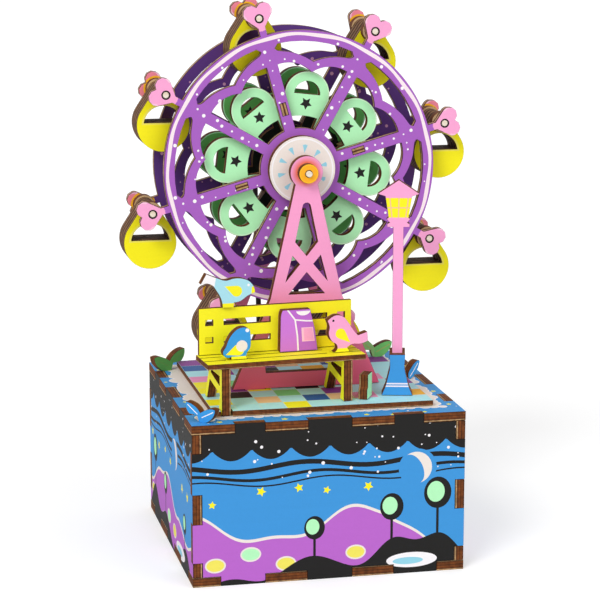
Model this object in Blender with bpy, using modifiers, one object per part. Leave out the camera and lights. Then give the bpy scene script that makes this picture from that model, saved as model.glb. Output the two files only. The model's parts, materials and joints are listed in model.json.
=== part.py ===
"""Crank ferris wheel toy: a laser cut plywood kit on a square box.

The box holds a small musical movement. A crank at the back turns a shaft, a rubber belt runs up
from its pulley to the pulley on the wheel axle, and eight gondolas hang between the two wheel plates.
All lengths are metres. X is to the right, Y to the back and Z up. The origin is on the table under
the middle of the box. The front face of the front wheel plate lies in the plane Y = 0.
"""
import math

import bmesh
import bpy
from mathutils import Matrix

# Stock and clearances
PLY = 0.0035
THIN_PLY = 0.0020
GAP = 0.0003
ROD_R = 0.0012
WASHER_R = 0.0042
OVERRUN = 0.0010

# Box
BOX_W = 0.105
BOX_H = 0.0625
TOP_FINGER_SHARES = (0.156, 0.107, 0.158, 0.158, 0.158, 0.107, 0.156)
BASE_FINGER_SHARES = (0.102, 0.160, 0.156, 0.164, 0.156, 0.160, 0.102)
CORNER_FINGER_SHARES = (0.102, 0.271, 0.212, 0.285, 0.130)
DECK_MARGIN = 0.010
DECK_BACK_EDGE = 0.0019

# Wheel
PIN_CIRCLE_R = 0.0602
PIN_OUTSET = 0.0068
FIRST_PIN_DEG = 15.5
SEATS = 8
RIM_BAND = 0.0040
SPOKE_W = 0.0043
HUB_R = 0.0157
HUB_DISC_R = 0.0130
ARM_W = 0.0026
HEART_TIP = 0.0048
HEART_H = 0.0105
HEART_W = 0.0113
# The inner scalloped band, as depths below the rim's outer edge
SCALLOP_TIP_DEPTH = 0.0158
SCALLOP_INNER_DEPTH = 0.0125
SCALLOP_ROOT_DEPTH = 0.0119
SCALLOP_NOTCH_DEPTH = 0.0119
SCALLOP_OUTER_DEPTH = 0.0088
SCALLOP_END_DEPTH = 0.0070
SLOT_END_DEPTH = 0.0056
# Angles of the band's points from the middle of a sector, as shares of half a sector
SCALLOP_ANGLE_SHARES = (0.0, 0.42, 0.78)
SLOT_END_SHARE = 0.86

# Flower plates behind the wheel plates
PETAL_CENTRE_R = 0.0286
PETAL_R = 0.0088
PETAL_SWEEP_DEG = 98
VALLEY_DIP = 0.0006
MOON_R = 0.0052
HUB_SLOT_IN_R = 0.0145
HUB_SLOT_OUT_R = 0.0202
HUB_SLOT_SHARE = 0.66

# Spacers between the wheel plates
SPACER_R = 0.0240
SPACER_TENON = 0.0046
SPACER_SHOULDER = 0.0012

# Gondolas
GONDOLA_R = 0.0102
GONDOLA_DROP = 0.0124
GONDOLA_LAYERS = 4
LUG_R = 0.0034
WINDOW_R = 0.0076
WINDOW_SILL = 0.0009
GONDOLA_CLEAR = 0.0014

# Supports, with drops below the axle and heights above the foot as shares of the height between
SUPPORT_HEAD_R = 0.0063
NECK_W = 0.0087
NECK_DROP = 0.0046
KNEE_W = 0.0284
KNEE_H_SHARE = 0.42043
FOOT_W = 0.0584
KITE_TOP_DROP_SHARE = 0.13777
KITE_TOP_R = 0.0017
KITE_W = 0.0091
KITE_WIDE_DROP_SHARE = 0.32067
KITE_V_DROP_SHARE = 0.38717
SIDE_TOP_X = 0.0056
SIDE_TOP_DROP_SHARE = 0.38242
SIDE_IN_X = 0.0026
SIDE_IN_DROP_SHARE = 0.42399
SIDE_LOW_X = 0.0084
SIDE_LOW_DROP_SHARE = 0.50713
TRIANGLE_APEX_DROP_SHARE = 0.46081
TRIANGLE_W = 0.0146
TRIANGLE_BASE_DROP_SHARE = 0.56413
ARCH_TOP_W = 0.0208
ARCH_TOP_H_SHARE = 0.38955
ARCH_WIDE_W = 0.0344
ARCH_WIDE_H_SHARE = 0.18052
ARCH_SILL_W = 0.0324
ARCH_SILL_H_SHARE = 0.07126
SUPPORT_TENON_X = 0.0205
SUPPORT_TENON_W = 0.0080
AXLE_RING_R = 0.0037
AXLE_PROUD = 0.0012

# Drive
SHAFT_R = 0.0015
CRANK_Z = 0.0320
BELT_R = 0.0011
WHEEL_BELT_R = 0.0095
CRANK_BELT_R = 0.0065
PULLEY_W = 0.0060
PULLEY_FLANGE = 0.0014
PULLEY_LAND = 0.0010
PULLEY_GAP = 0.0009
BELT_SLOT_W = 0.0046
CRANK_ARM = 0.0220
CRANK_ARM_W = 0.0085
KNOB_R = 0.0046
KNOB_L = 0.0140
KNOB_NECK_R = 0.0030
KNOB_ROUND = 0.0020

# Musical movement
FRAME_PLATE = 0.0030
FRAME_D = 0.0250
FRAME_PULLEY_GAP = 0.0025
FRAME_TOP_RISE = 0.0080
FRAME_RIGHT_X = 0.0070
FRAME_LEFT_X = 0.0370
PINION_TEETH = 12
DRUM_TEETH = 24
PINION_PITCH_R = 0.0048
ADDENDUM = 0.0007
DEDENDUM = 0.0011
GEAR_W = 0.0026
DRUM_R = 0.0065
DRUM_L = 0.0110
DRUM_PIN = 0.0005
DRUM_PIN_W = 0.0008
DRUM_PIN_ROWS = 3
DRUM_PINS_ROUND = 5
COMB_T = 0.0010
COMB_TEETH = 10
COMB_TOOTH_L = 0.0080
COMB_L = 0.0140
COMB_BLOCK_W = 0.0070

# Bench, standing a little askew on the deck between the box's left side and the lamp's bay
BENCH_SIDE = 0.0080
LAMP_BAY = 0.0350
BENCH_SET_BACK = 0.0030
BENCH_TURN_DEG = 5
SEAT_D = 0.0175
SEAT_H = 0.0180
PLANK_GROOVE = 0.0008
PLANK_NOTCH_L = 0.0085
PLANK_BRIDGE = 0.0050
BACK_H = 0.0178
BACK_END_INSET = 0.00075
SLAT_GAP = 0.0024
BACK_STRUT_W = 0.0040
BACK_END_W = 0.0024
BACK_END_SLOT = 0.0032
LEG_INSET = 0.0070
LEG_W = 0.0030
LEG_TOE = 0.0012
LEG_TOE_H = 0.0048
LEG_RAKE = 0.0070
LEG_TOP_INSET = 0.0010
LEG_CLEAR = 0.0036
LEG_BRACE_HIGH_SHARE = 0.72
LEG_BRACE_LOW_SHARE = 0.56

# Birds and bag, placed along the bench from its ends or from its middle
RAIL_BIRD_INSET = 0.0118
RAIL_BIRD_L = 0.0211
RAIL_BIRD_H = 0.0132
SEAT_BIRD_INSET = 0.0126
SEAT_BIRD_L = 0.0108
SEAT_BIRD_H = 0.0118
PINK_BIRD_INSET = 0.0055
PINK_BIRD_L = 0.0162
PINK_BIRD_H = 0.0143
SEAT_BIRD_DEPTH = 0.0068
BAG_X = 0.0080
BAG_W = 0.0148
BAG_H = 0.0160

# Lamp, with its foot and its lantern as half widths at heights above the deck
LAMP_SIDE = 0.0203
LAMP_SET_BACK = 0.0120
LAMP_TURN_DEG = -14
LAMP_H = 0.0828
LAMP_BASE_H = 0.0158
LAMP_SHOULDER_H = 0.0012
LAMP_POST_W = 0.0038
LAMP_TENON_W = 0.0060
FOOT_STEPS = (
    (0.0058, 0.0), (0.0046, 0.0028), (0.0041, 0.0044), (0.0028, 0.0100), (0.0027, 0.0118),
    (0.0029, 0.0144),
)
LANTERN_STEPS = (
    (0.0042, 0.0649), (0.0042, 0.0660), (0.0032, 0.0665), (0.0044, 0.0680), (0.0037, 0.0684),
    (0.0050, 0.0767), (0.0078, 0.0776),
)

# Garden pieces round the deck, and a small post beside the lamp
SPROUT_H = 0.0080
SPROUT_W = 0.0145
SPROUT_CLEAR = 0.0047
BACK_LEFT_SPROUT_INSET = 0.0145
BACK_LEFT_SPROUT_DEG = 24
DECK_SPROUT_SIDE = 0.0038
DECK_SPROUT_INSET = 0.0080
FRONT_LEFT_SPROUT_INSET = 0.0063
FRONT_LEFT_SPROUT_DEG = -40
LEAF_CLEAR = 0.0038
LEAF_INSET = 0.0560
LEAF_DEG = 30
SMALL_SPROUT_SCALE = 0.85
LEAF_W = 0.0062
LEAF_H = 0.0068
POST_SIDE = 0.0340
POST_SET_BACK = 0.0040
POST_H = 0.0092
POST_W = 0.0062
POST_FOOT = 0.0012
POST_TURN_DEG = -28

# Facet counts
ARC_STEPS = 5
RIM_STEPS = 8
BAND_STEPS = 3
HOLE_STEPS = 8
ROUND_STEPS = 24

SECTOR = math.tau / SEATS
HALF_SECTOR = SECTOR / 2
FIRST_PIN = math.radians(FIRST_PIN_DEG)

# The bench, from the box's width and its seat
BENCH_L = BOX_W - BENCH_SIDE - LAMP_BAY
BENCH_X = BENCH_SIDE + BENCH_L / 2 - BOX_W / 2
BACK_L = BENCH_L - 2 * BACK_END_INSET
LEG_X = BENCH_L / 2 - LEG_INSET
LEG_REACH = SEAT_D + LEG_RAKE
LEG_REAR_TOP = SEAT_D - LEG_TOP_INSET

# The box is as deep as the deck's margins, the bench and the layers of the wheel
GONDOLA_W = GONDOLA_LAYERS * PLY
HUB_LAYERS_D = 3 * (PLY + GAP)
WHEEL_D = 4 * (PLY + GAP) + GONDOLA_W
FRONT_D = DECK_MARGIN + BENCH_SET_BACK + LEG_REACH + LEG_CLEAR + HUB_LAYERS_D
BACK_D = WHEEL_D + HUB_LAYERS_D + DECK_BACK_EDGE + DECK_MARGIN
BOX_D = FRONT_D + BACK_D
BENCH_FRONT_Y = DECK_MARGIN + BENCH_SET_BACK - BOX_D / 2

# Layers of the wheel along Y, each one seated on the last
WHEEL_FRONT_Y = FRONT_D - BOX_D / 2
FLOWER_FRONT_Y = WHEEL_FRONT_Y + PLY + GAP
GONDOLA_Y = FLOWER_FRONT_Y + PLY + GAP
FLOWER_REAR_Y = GONDOLA_Y + GONDOLA_W + GAP
WHEEL_REAR_Y = FLOWER_REAR_Y + PLY + GAP
WHEEL_BACK_Y = WHEEL_REAR_Y + PLY
DISC_FRONT_Y = WHEEL_FRONT_Y - GAP - PLY
WASHER_FRONT_Y = DISC_FRONT_Y - GAP - PLY
SUPPORT_FRONT_Y = WASHER_FRONT_Y - GAP - PLY
RING_Y = SUPPORT_FRONT_Y - GAP - PLY
DISC_REAR_Y = WHEEL_BACK_Y + GAP
WASHER_REAR_Y = DISC_REAR_Y + PLY + GAP
SUPPORT_REAR_Y = WASHER_REAR_Y + PLY + GAP
BELT_Y = SUPPORT_REAR_Y + PLY + PULLEY_GAP + PULLEY_W / 2
FRAME_BACK_Y = BELT_Y - PULLEY_W / 2 - FRAME_PULLEY_GAP
FRAME_FRONT_Y = FRAME_BACK_Y - FRAME_D

DECK_Z = BOX_H + GAP
DECK_TOP = DECK_Z + THIN_PLY
FOOT_Z = DECK_TOP + GAP
SUPPORT_H = PIN_CIRCLE_R + GONDOLA_DROP + GONDOLA_R + GONDOLA_CLEAR
AXLE_Z = FOOT_Z + SUPPORT_H
RIM_R = PIN_CIRCLE_R - PIN_OUTSET
VALLEY_R = PETAL_CENTRE_R - VALLEY_DIP
SEAT_TOP = DECK_TOP + SEAT_H
FLOOR_TOP = PLY
LAMP_X = BOX_W / 2 - LAMP_SIDE
LAMP_Y = BENCH_FRONT_Y + LAMP_SET_BACK
DRUM_X = -(PINION_PITCH_R + PINION_PITCH_R * DRUM_TEETH / PINION_TEETH)
HOLE_R = ROD_R + GAP

FACINGS = {
    "front": Matrix.Rotation(math.pi / 2, 4, "X"),
    "side": Matrix.Rotation(math.pi / 2, 4, "Z") @ Matrix.Rotation(math.pi / 2, 4, "X"),
    "up": Matrix.Identity(4),
}

FINISHES = {
    "bare_ply": ((0.74, 0.55, 0.33), 0.7, 0.0),
    "blue_print": ((0.13, 0.33, 0.72), 0.55, 0.0),
    "night_print": ((0.05, 0.10, 0.25), 0.55, 0.0),
    "tile_print": ((0.42, 0.74, 0.72), 0.55, 0.0),
    "purple": ((0.43, 0.12, 0.63), 0.5, 0.0),
    "mint": ((0.41, 0.88, 0.48), 0.5, 0.0),
    "cream": ((0.87, 0.79, 0.75), 0.6, 0.0),
    "pink": ((0.95, 0.35, 0.60), 0.5, 0.0),
    "orange": ((1.0, 0.50, 0.03), 0.5, 0.0),
    "yellow": ((0.92, 0.81, 0.02), 0.5, 0.0),
    "sky_blue": ((0.45, 0.80, 0.88), 0.5, 0.0),
    "mid_blue": ((0.05, 0.30, 0.70), 0.5, 0.0),
    "leaf_green": ((0.10, 0.40, 0.10), 0.55, 0.0),
    "orchid": ((0.63, 0.20, 0.70), 0.5, 0.0),
    "dowel": ((0.85, 0.72, 0.52), 0.6, 0.0),
    "rubber": ((0.01, 0.01, 0.01), 0.6, 0.0),
    "steel": ((0.55, 0.55, 0.57), 0.35, 1.0),
    "brass": ((0.75, 0.55, 0.22), 0.35, 1.0),
}


def new_collection(name):
    """A fresh collection linked to the scene."""
    collection = bpy.data.collections.new(name)
    bpy.context.scene.collection.children.link(collection)
    return collection


def finish(name):
    """The Principled material of a named finish, made once."""
    material = bpy.data.materials.get(name)
    if material is None:
        colour, roughness, metallic = FINISHES[name]
        material = bpy.data.materials.new(name)
        material.use_nodes = True
        shader = material.node_tree.nodes["Principled BSDF"]
        shader.inputs["Base Color"].default_value = (*colour, 1.0)
        shader.inputs["Roughness"].default_value = roughness
        shader.inputs["Metallic"].default_value = metallic
        material.diffuse_color = (*colour, 1.0)
    return material


# Flat outlines, as lists of points

def polar(radius, angle, centre=(0.0, 0.0)):
    """The point at a radius and an angle round a centre."""
    return centre[0] + radius * math.cos(angle), centre[1] + radius * math.sin(angle)


def arc(centre, radius, start, end, steps):
    """Points along an arc, both ends included."""
    return [polar(radius, start + (end - start) * i / steps, centre) for i in range(steps + 1)]


def circle(radius, steps, centre=(0.0, 0.0)):
    """A closed ring of points."""
    return [polar(radius, math.tau * i / steps, centre) for i in range(steps)]


def rectangle(x0, x1, y0, y1):
    """The four corners of a rectangle."""
    return [(x0, y0), (x1, y0), (x1, y1), (x0, y1)]


def arc_through(first, middle, last, steps):
    """Points on the circle through three points, from the first to the last."""
    (ax, ay), (bx, by), (cx, cy) = first, middle, last
    spread = 2 * (ax * (by - cy) + bx * (cy - ay) + cx * (ay - by))
    a2, b2, c2 = ax * ax + ay * ay, bx * bx + by * by, cx * cx + cy * cy
    ox = (a2 * (by - cy) + b2 * (cy - ay) + c2 * (ay - by)) / spread
    oy = (a2 * (cx - bx) + b2 * (ax - cx) + c2 * (bx - ax)) / spread
    start = math.atan2(ay - oy, ax - ox)
    sweep = math.atan2(cy - oy, cx - ox) - start
    turn = math.atan2(by - oy, bx - ox) - start
    if (turn % math.tau) > (sweep % math.tau):
        sweep = -((-sweep) % math.tau)
    else:
        sweep = sweep % math.tau
    return arc((ox, oy), math.hypot(ax - ox, ay - oy), start, start + sweep, steps)


def turned(points, angle, centre=(0.0, 0.0)):
    """The points turned about the origin by an angle, then moved to a centre."""
    c, s = math.cos(angle), math.sin(angle)
    return [(centre[0] + c * x - s * y, centre[1] + s * x + c * y) for x, y in points]


def mirrored(half):
    """A half outline from the bottom up at positive x, closed by its mirror image."""
    return half + [(-x, y) for x, y in reversed(half) if x > 0]


def spans(length, shares, start):
    """The stretches that the shares cut a length into, from a start."""
    out, here = [], start
    for share in shares:
        out.append((here, here + share * length))
        here += share * length
    return out


def stepped_rectangle(x0, x1, y0, y1, bottom=(), right=(), top=(), left=()):
    """A rectangle whose sides step in at stretches given as (from, to, depth); a negative depth steps out."""
    points = [(x0, y0)]
    for a, b, d in bottom:
        points += [(a, y0), (a, y0 + d), (b, y0 + d), (b, y0)]
    points.append((x1, y0))
    for a, b, d in right:
        points += [(x1, a), (x1 - d, a), (x1 - d, b), (x1, b)]
    points.append((x1, y1))
    for a, b, d in reversed(top):
        points += [(b, y1), (b, y1 - d), (a, y1 - d), (a, y1)]
    points.append((x0, y1))
    for a, b, d in reversed(left):
        points += [(x0, b), (x0 + d, b), (x0 + d, a), (x0, a)]
    return points


def gear_outline(teeth, pitch_r, first_share):
    """Straight sided teeth round a pitch circle; the first share turns it by a part of one tooth."""
    pitch = math.tau / teeth
    root_share, tip_share = 0.24, 0.11
    points = []
    for i in range(teeth):
        middle = pitch * (i + first_share)
        points += [
            polar(pitch_r - DEDENDUM, middle - pitch * root_share),
            polar(pitch_r + ADDENDUM, middle - pitch * tip_share),
            polar(pitch_r + ADDENDUM, middle + pitch * tip_share),
            polar(pitch_r - DEDENDUM, middle + pitch * root_share),
        ]
    return points


# Solids

def link(obj, material, collection, parent=None):
    """Put an object in a collection with its material and its parent."""
    obj.data.materials.append(finish(material))
    collection.objects.link(obj)
    if parent is not None:
        obj.parent = parent
    return obj


def plate(name, loops, thickness, facing, place, material, turn=0.0, parent=None):
    """A flat plate cut from sheet: the first loop is its outline and the others are its holes.

    The loops lie in the plate's own plane round its origin. The place is the middle of the sheet's
    thickness, and the turn is about the vertical, in radians.
    """
    curve = bpy.data.curves.new(name, "CURVE")
    curve.dimensions = "2D"
    curve.fill_mode = "BOTH"
    curve.extrude = thickness / 2
    for loop in loops:
        spline = curve.splines.new("POLY")
        spline.points.add(len(loop) - 1)
        for point, (x, y) in zip(spline.points, loop):
            point.co = (x, y, 0.0, 1.0)
        spline.use_cyclic_u = True
    obj = bpy.data.objects.new(name, curve)
    link(obj, material, TOY, parent)
    obj.matrix_local = Matrix.Translation(place) @ Matrix.Rotation(turn, 4, "Z") @ FACINGS[facing]
    return obj


def layer(name, loops, thickness, front, material, parent=None, x=0.0, z=0.0):
    """A plate that faces the front, whose front face is at a given Y."""
    return plate(name, loops, thickness, "front", (x, front + thickness / 2, z), material, parent=parent)


def made_mesh(obj):
    """The curve object as a welded mesh object of the same name, place and parent."""
    depsgraph = bpy.context.evaluated_depsgraph_get()
    depsgraph.update()
    name, material, parent, matrix = obj.name, obj.data.materials[0].name, obj.parent, obj.matrix_world.copy()
    mesh = bpy.data.meshes.new_from_object(obj.evaluated_get(depsgraph))
    bm = bmesh.new()
    bm.from_mesh(mesh)
    bmesh.ops.remove_doubles(bm, verts=bm.verts, dist=GAP / 100)
    bmesh.ops.recalc_face_normals(bm, faces=bm.faces)
    bm.to_mesh(mesh)
    bm.free()
    bpy.data.objects.remove(obj)
    mesh.name = name
    mesh.materials.clear()
    solid = bpy.data.objects.new(name, mesh)
    link(solid, material, TOY, parent)
    solid.matrix_world = matrix
    return solid


def cylinder(name, radius, length, place, material, collection, steps=ROUND_STEPS, parent=None):
    """A round rod along Y whose front end is at the place."""
    mesh = bpy.data.meshes.new(name)
    bm = bmesh.new()
    bmesh.ops.create_cone(bm, cap_ends=True, segments=steps, radius1=radius, radius2=radius, depth=length)
    bm.to_mesh(mesh)
    bm.free()
    mesh.shade_smooth()
    mesh.set_sharp_from_angle(angle=math.radians(40))
    obj = bpy.data.objects.new(name, mesh)
    link(obj, material, collection, parent)
    x, y, z = place
    obj.matrix_local = Matrix.Translation((x, y + length / 2, z)) @ FACINGS["front"]
    return obj


def block(name, low, high, material, collection):
    """A box between two corners."""
    mesh = bpy.data.meshes.new(name)
    bm = bmesh.new()
    bmesh.ops.create_cube(bm, size=1.0)
    size = [b - a for a, b in zip(low, high)]
    bmesh.ops.scale(bm, vec=size, verts=bm.verts)
    bm.to_mesh(mesh)
    bm.free()
    obj = bpy.data.objects.new(name, mesh)
    link(obj, material, collection)
    obj.location = [(a + b) / 2 for a, b in zip(low, high)]
    return obj


def turned_solid(name, profile, closed, place, material, parent=None, steps=ROUND_STEPS):
    """A solid turned about the Y axis from a profile of (radius, distance back) points."""
    mesh = bpy.data.meshes.new(name)
    count = len(profile)
    edges = [(i, i + 1) for i in range(count - 1)] + ([(count - 1, 0)] if closed else [])
    mesh.from_pydata([(r, 0.0, -y) for r, y in profile], edges, [])
    obj = bpy.data.objects.new(name, mesh)
    link(obj, material, TOY, parent)
    obj.matrix_local = Matrix.Translation(place) @ FACINGS["front"]
    screw = obj.modifiers.new("turn", "SCREW")
    screw.steps = screw.render_steps = steps
    screw.use_merge_vertices = True
    screw.merge_threshold = GAP / 100
    screw.use_smooth_shade = False
    return obj


def combine(obj, other, operation):
    """Join a cutter or a boss to a mesh object with an exact boolean."""
    modifier = obj.modifiers.new(other.name, "BOOLEAN")
    modifier.object = other
    modifier.operation = operation
    other.hide_render = True
    other.display_type = "WIRE"


def drill(obj, radius, length, place, steps=HOLE_STEPS):
    """Bore a round hole along Y through a mesh object."""
    cutter = cylinder(obj.name + "_bore", radius, length, place, "steel", CUTTERS, steps)
    combine(obj, cutter, "DIFFERENCE")


def axis_empty(name, place, parent=None):
    """An empty on a joint's axis that carries the pieces of one moving body."""
    empty = bpy.data.objects.new(name, None)
    empty.empty_display_size = ROD_R
    TOY.objects.link(empty)
    empty.location = place
    empty.parent = parent
    return empty


# Box

def box_plate_outline(shares):
    """A square plate with notches where the panels' fingers come through."""
    x_spans = spans(BOX_W, shares, -BOX_W / 2)[1::2]
    y_spans = spans(BOX_D, shares, -BOX_D / 2)[1::2]
    x_cuts = [(a - GAP, b + GAP, PLY + GAP) for a, b in x_spans]
    y_cuts = [(a - GAP, b + GAP, PLY + GAP) for a, b in y_spans]
    return stepped_rectangle(-BOX_W / 2, BOX_W / 2, -BOX_D / 2, BOX_D / 2, x_cuts, y_cuts, x_cuts, y_cuts)


def panel_outline(width, half_body, corner_cuts):
    """A side of the box: fingers up and down into the plates, and fingers or notches at the corners."""
    low, high = PLY + GAP, BOX_H - PLY - GAP
    down = [(a, b, -low) for a, b in spans(width, BASE_FINGER_SHARES, -width / 2)[1::2]]
    up = [(a, b, -(BOX_H - high)) for a, b in spans(width, TOP_FINGER_SHARES, -width / 2)[1::2]]
    corners = [(a + corner_cuts[0], b - corner_cuts[0], corner_cuts[1])
               for a, b in spans(high - low, CORNER_FINGER_SHARES, low)[1::2]]
    return stepped_rectangle(-half_body, half_body, low, high, down, corners, up, corners)


def belt_half_width(z):
    """How far the belt's runs stand from the middle plane at a height."""
    drop = (AXLE_Z - z) / (AXLE_Z - CRANK_Z)
    return WHEEL_BELT_R + (CRANK_BELT_R - WHEEL_BELT_R) * drop


def build_box():
    """The six plywood sides of the box."""
    plate("bottom_plate", [box_plate_outline(BASE_FINGER_SHARES)], PLY, "up", (0.0, 0.0, PLY / 2), "bare_ply")
    finger_in = BOX_W / 2 - PLY - GAP
    front = panel_outline(BOX_W, finger_in, (0.0, -(PLY + GAP)))
    crank_hole = circle(SHAFT_R + GAP, HOLE_STEPS, (0.0, CRANK_Z))
    front_y = -BOX_D / 2
    layer("front_panel", [front], PLY, front_y, "night_print")
    layer("back_panel", [front, crank_hole], PLY, BOX_D / 2 - PLY, "night_print")
    side = panel_outline(BOX_D, BOX_D / 2, (-GAP, PLY + GAP))
    side_x = (BOX_W - PLY) / 2
    plate("left_panel", [side], PLY, "side", (-side_x, 0.0, 0.0), "night_print")
    plate("right_panel", [side], PLY, "side", (side_x, 0.0, 0.0), "night_print")
    run = belt_half_width(BOX_H)
    half = BELT_SLOT_W / 2
    slots = [rectangle(x - half, x + half, BELT_Y - half, BELT_Y + half) for x in (-run, run)]
    plate("top_plate", [box_plate_outline(TOP_FINGER_SHARES), *slots], PLY, "up",
          (0.0, 0.0, BOX_H - PLY / 2), "blue_print")


def tenon_slot(x, y, width, thickness, turn=0.0):
    """The slot in the deck for a tenon of a standing plate."""
    half_w, half_t = width / 2 + GAP, thickness / 2 + GAP
    return turned(rectangle(-half_w, half_w, -half_t, half_t), turn, (x, y))


def build_deck():
    """The tiled deck on the top plate, slotted for the supports and the lamp."""
    half_w, half_d = BOX_W / 2 - DECK_MARGIN, BOX_D / 2 - DECK_MARGIN
    foot_x = BENCH_X - LEG_X * math.cos(math.radians(BENCH_TURN_DEG))
    foot_y = BENCH_FRONT_Y - LEG_X * math.sin(math.radians(BENCH_TURN_DEG))
    reach = PLY / 2 + 2 * GAP
    notch = (foot_x - reach, foot_x + reach, foot_y + LEG_W + LEG_TOE + 2 * GAP + half_d)
    loops = [stepped_rectangle(-half_w, half_w, -half_d, half_d, bottom=[notch])]
    for front in (SUPPORT_FRONT_Y, SUPPORT_REAR_Y):
        for x in (-SUPPORT_TENON_X, SUPPORT_TENON_X):
            loops.append(tenon_slot(x, front + PLY / 2, SUPPORT_TENON_W, PLY))
    loops.append(tenon_slot(LAMP_X, LAMP_Y, LAMP_TENON_W, PLY, math.radians(LAMP_TURN_DEG)))
    plate("tile_deck", loops, THIN_PLY, "up", (0.0, 0.0, DECK_Z + THIN_PLY / 2), "tile_print")


# Supports

def support_loops():
    """The A frame with its kite, its cross brace and its arch, round an origin on the axle."""
    foot = -SUPPORT_H
    half_tenon = SUPPORT_TENON_W / 2
    tenon = BOX_H + GAP - AXLE_Z
    neck_angle = math.asin(NECK_DROP / SUPPORT_HEAD_R)

    def height(share):
        return SUPPORT_H * share

    half = [
        (SUPPORT_TENON_X - half_tenon, foot), (SUPPORT_TENON_X - half_tenon, tenon),
        (SUPPORT_TENON_X + half_tenon, tenon), (SUPPORT_TENON_X + half_tenon, foot),
        (FOOT_W / 2, foot), (KNEE_W / 2, foot + height(KNEE_H_SHARE)), (NECK_W / 2, -NECK_DROP),
    ]
    half += arc((0.0, 0.0), SUPPORT_HEAD_R, -neck_angle, math.pi / 2, 2 * ARC_STEPS)[1:-1]
    outline = mirrored(half)
    outline.insert(len(half), (0.0, SUPPORT_HEAD_R))
    kite = [(0.0, -height(KITE_V_DROP_SHARE)), (KITE_W / 2, -height(KITE_WIDE_DROP_SHARE))]
    kite += arc((0.0, -height(KITE_TOP_DROP_SHARE) - KITE_TOP_R), KITE_TOP_R, 0.0, math.pi, ARC_STEPS)
    kite += [(-KITE_W / 2, -height(KITE_WIDE_DROP_SHARE))]
    side = [(SIDE_TOP_X, -height(SIDE_TOP_DROP_SHARE)), (SIDE_IN_X, -height(SIDE_IN_DROP_SHARE)),
            (SIDE_LOW_X, -height(SIDE_LOW_DROP_SHARE))]
    triangle_base = -height(TRIANGLE_BASE_DROP_SHARE)
    triangle = [(0.0, -height(TRIANGLE_APEX_DROP_SHARE)), (-TRIANGLE_W / 2, triangle_base),
                (TRIANGLE_W / 2, triangle_base)]
    arch = mirrored([(ARCH_SILL_W / 2, foot + height(ARCH_SILL_H_SHARE)),
                     (ARCH_WIDE_W / 2, foot + height(ARCH_WIDE_H_SHARE)),
                     (ARCH_TOP_W / 2, foot + height(ARCH_TOP_H_SHARE))])
    return [outline, circle(HOLE_R, HOLE_STEPS), kite, side, [(-x, y) for x, y in side], triangle, arch]


def build_supports():
    """The two A frames that carry the axle."""
    loops = support_loops()
    layer("front_support", loops, PLY, SUPPORT_FRONT_Y, "pink", z=AXLE_Z)
    layer("rear_support", loops, PLY, SUPPORT_REAR_Y, "pink", z=AXLE_Z)


# Wheel

def heart_half():
    """One side of a heart, from its arm to the notch between its lobes, along +Y from the axle."""
    tip = PIN_CIRCLE_R - HEART_TIP
    lobe_r = HEART_W * 0.27
    lobe_x = HEART_W / 2 - lobe_r
    lobe_y = tip + HEART_H - lobe_r
    notch = math.acos(lobe_x / lobe_r)
    lobe = arc((lobe_x, lobe_y), lobe_r, math.radians(-38), math.pi - notch, ARC_STEPS)
    return [(ARM_W / 2, tip + ARM_W / 2)] + lobe


def wheel_outline():
    """The rim with an arm and a heart on each spoke."""
    arm_angle = math.asin(ARM_W / 2 / RIM_R)
    half = heart_half()
    heart = half + [(-x, y) for x, y in reversed(half[:-1])]
    points = []
    for i in range(SEATS):
        spoke = FIRST_PIN + i * SECTOR
        points += turned(heart, spoke - math.pi / 2)
        points += arc((0.0, 0.0), RIM_R, spoke + arm_angle, spoke + SECTOR - arm_angle, RIM_STEPS)
    return points


def sector_slot():
    """The slot between the rim and the scalloped band, round +X."""
    angles = [HALF_SECTOR * share for share in SCALLOP_ANGLE_SHARES]
    band = arc_through(polar(RIM_R - SCALLOP_NOTCH_DEPTH, angles[0]),
                       polar(RIM_R - SCALLOP_OUTER_DEPTH, angles[1]),
                       polar(RIM_R - SCALLOP_END_DEPTH, angles[2]), BAND_STEPS)
    end = polar(RIM_R - SLOT_END_DEPTH, HALF_SECTOR * SLOT_END_SHARE)
    rim = arc((0.0, 0.0), RIM_R - RIM_BAND, angles[2], 0.0, BAND_STEPS)
    upper = band + [end] + rim
    return upper + [(x, -y) for x, y in reversed(upper[1:-1])]


def sector_window():
    """The window between two spokes, the hub and the scalloped band, round +X."""
    half_spoke = SPOKE_W / 2
    root_r = RIM_R - SCALLOP_ROOT_DEPTH
    root_angle = HALF_SECTOR - math.asin(half_spoke / root_r)
    hub_angle = HALF_SECTOR - math.asin(half_spoke / HUB_R)
    angles = [HALF_SECTOR * share for share in SCALLOP_ANGLE_SHARES]
    band = arc_through(polar(RIM_R - SCALLOP_TIP_DEPTH, 0.0), polar(RIM_R - SCALLOP_INNER_DEPTH, angles[1]),
                       polar(root_r, root_angle), BAND_STEPS)
    hub = arc((0.0, 0.0), HUB_R, hub_angle, 0.0, 2)
    upper = band + hub
    return upper + [(x, -y) for x, y in reversed(upper[1:-1])]


def spacer_angles():
    """Every other spoke carries a spacer."""
    return [FIRST_PIN + 2 * i * SECTOR for i in range(SEATS // 2)]


def spacer_slots():
    """The slots that the spacers' tenons pass through."""
    half_l, half_t = SPACER_TENON / 2 + GAP, THIN_PLY / 2 + GAP
    slot = rectangle(-half_l, half_l, -half_t, half_t)
    return [turned(slot, angle, polar(SPACER_R, angle)) for angle in spacer_angles()]


def pin_places():
    """The eight pins on their circle."""
    return [polar(PIN_CIRCLE_R, FIRST_PIN + i * SECTOR) for i in range(SEATS)]


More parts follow.
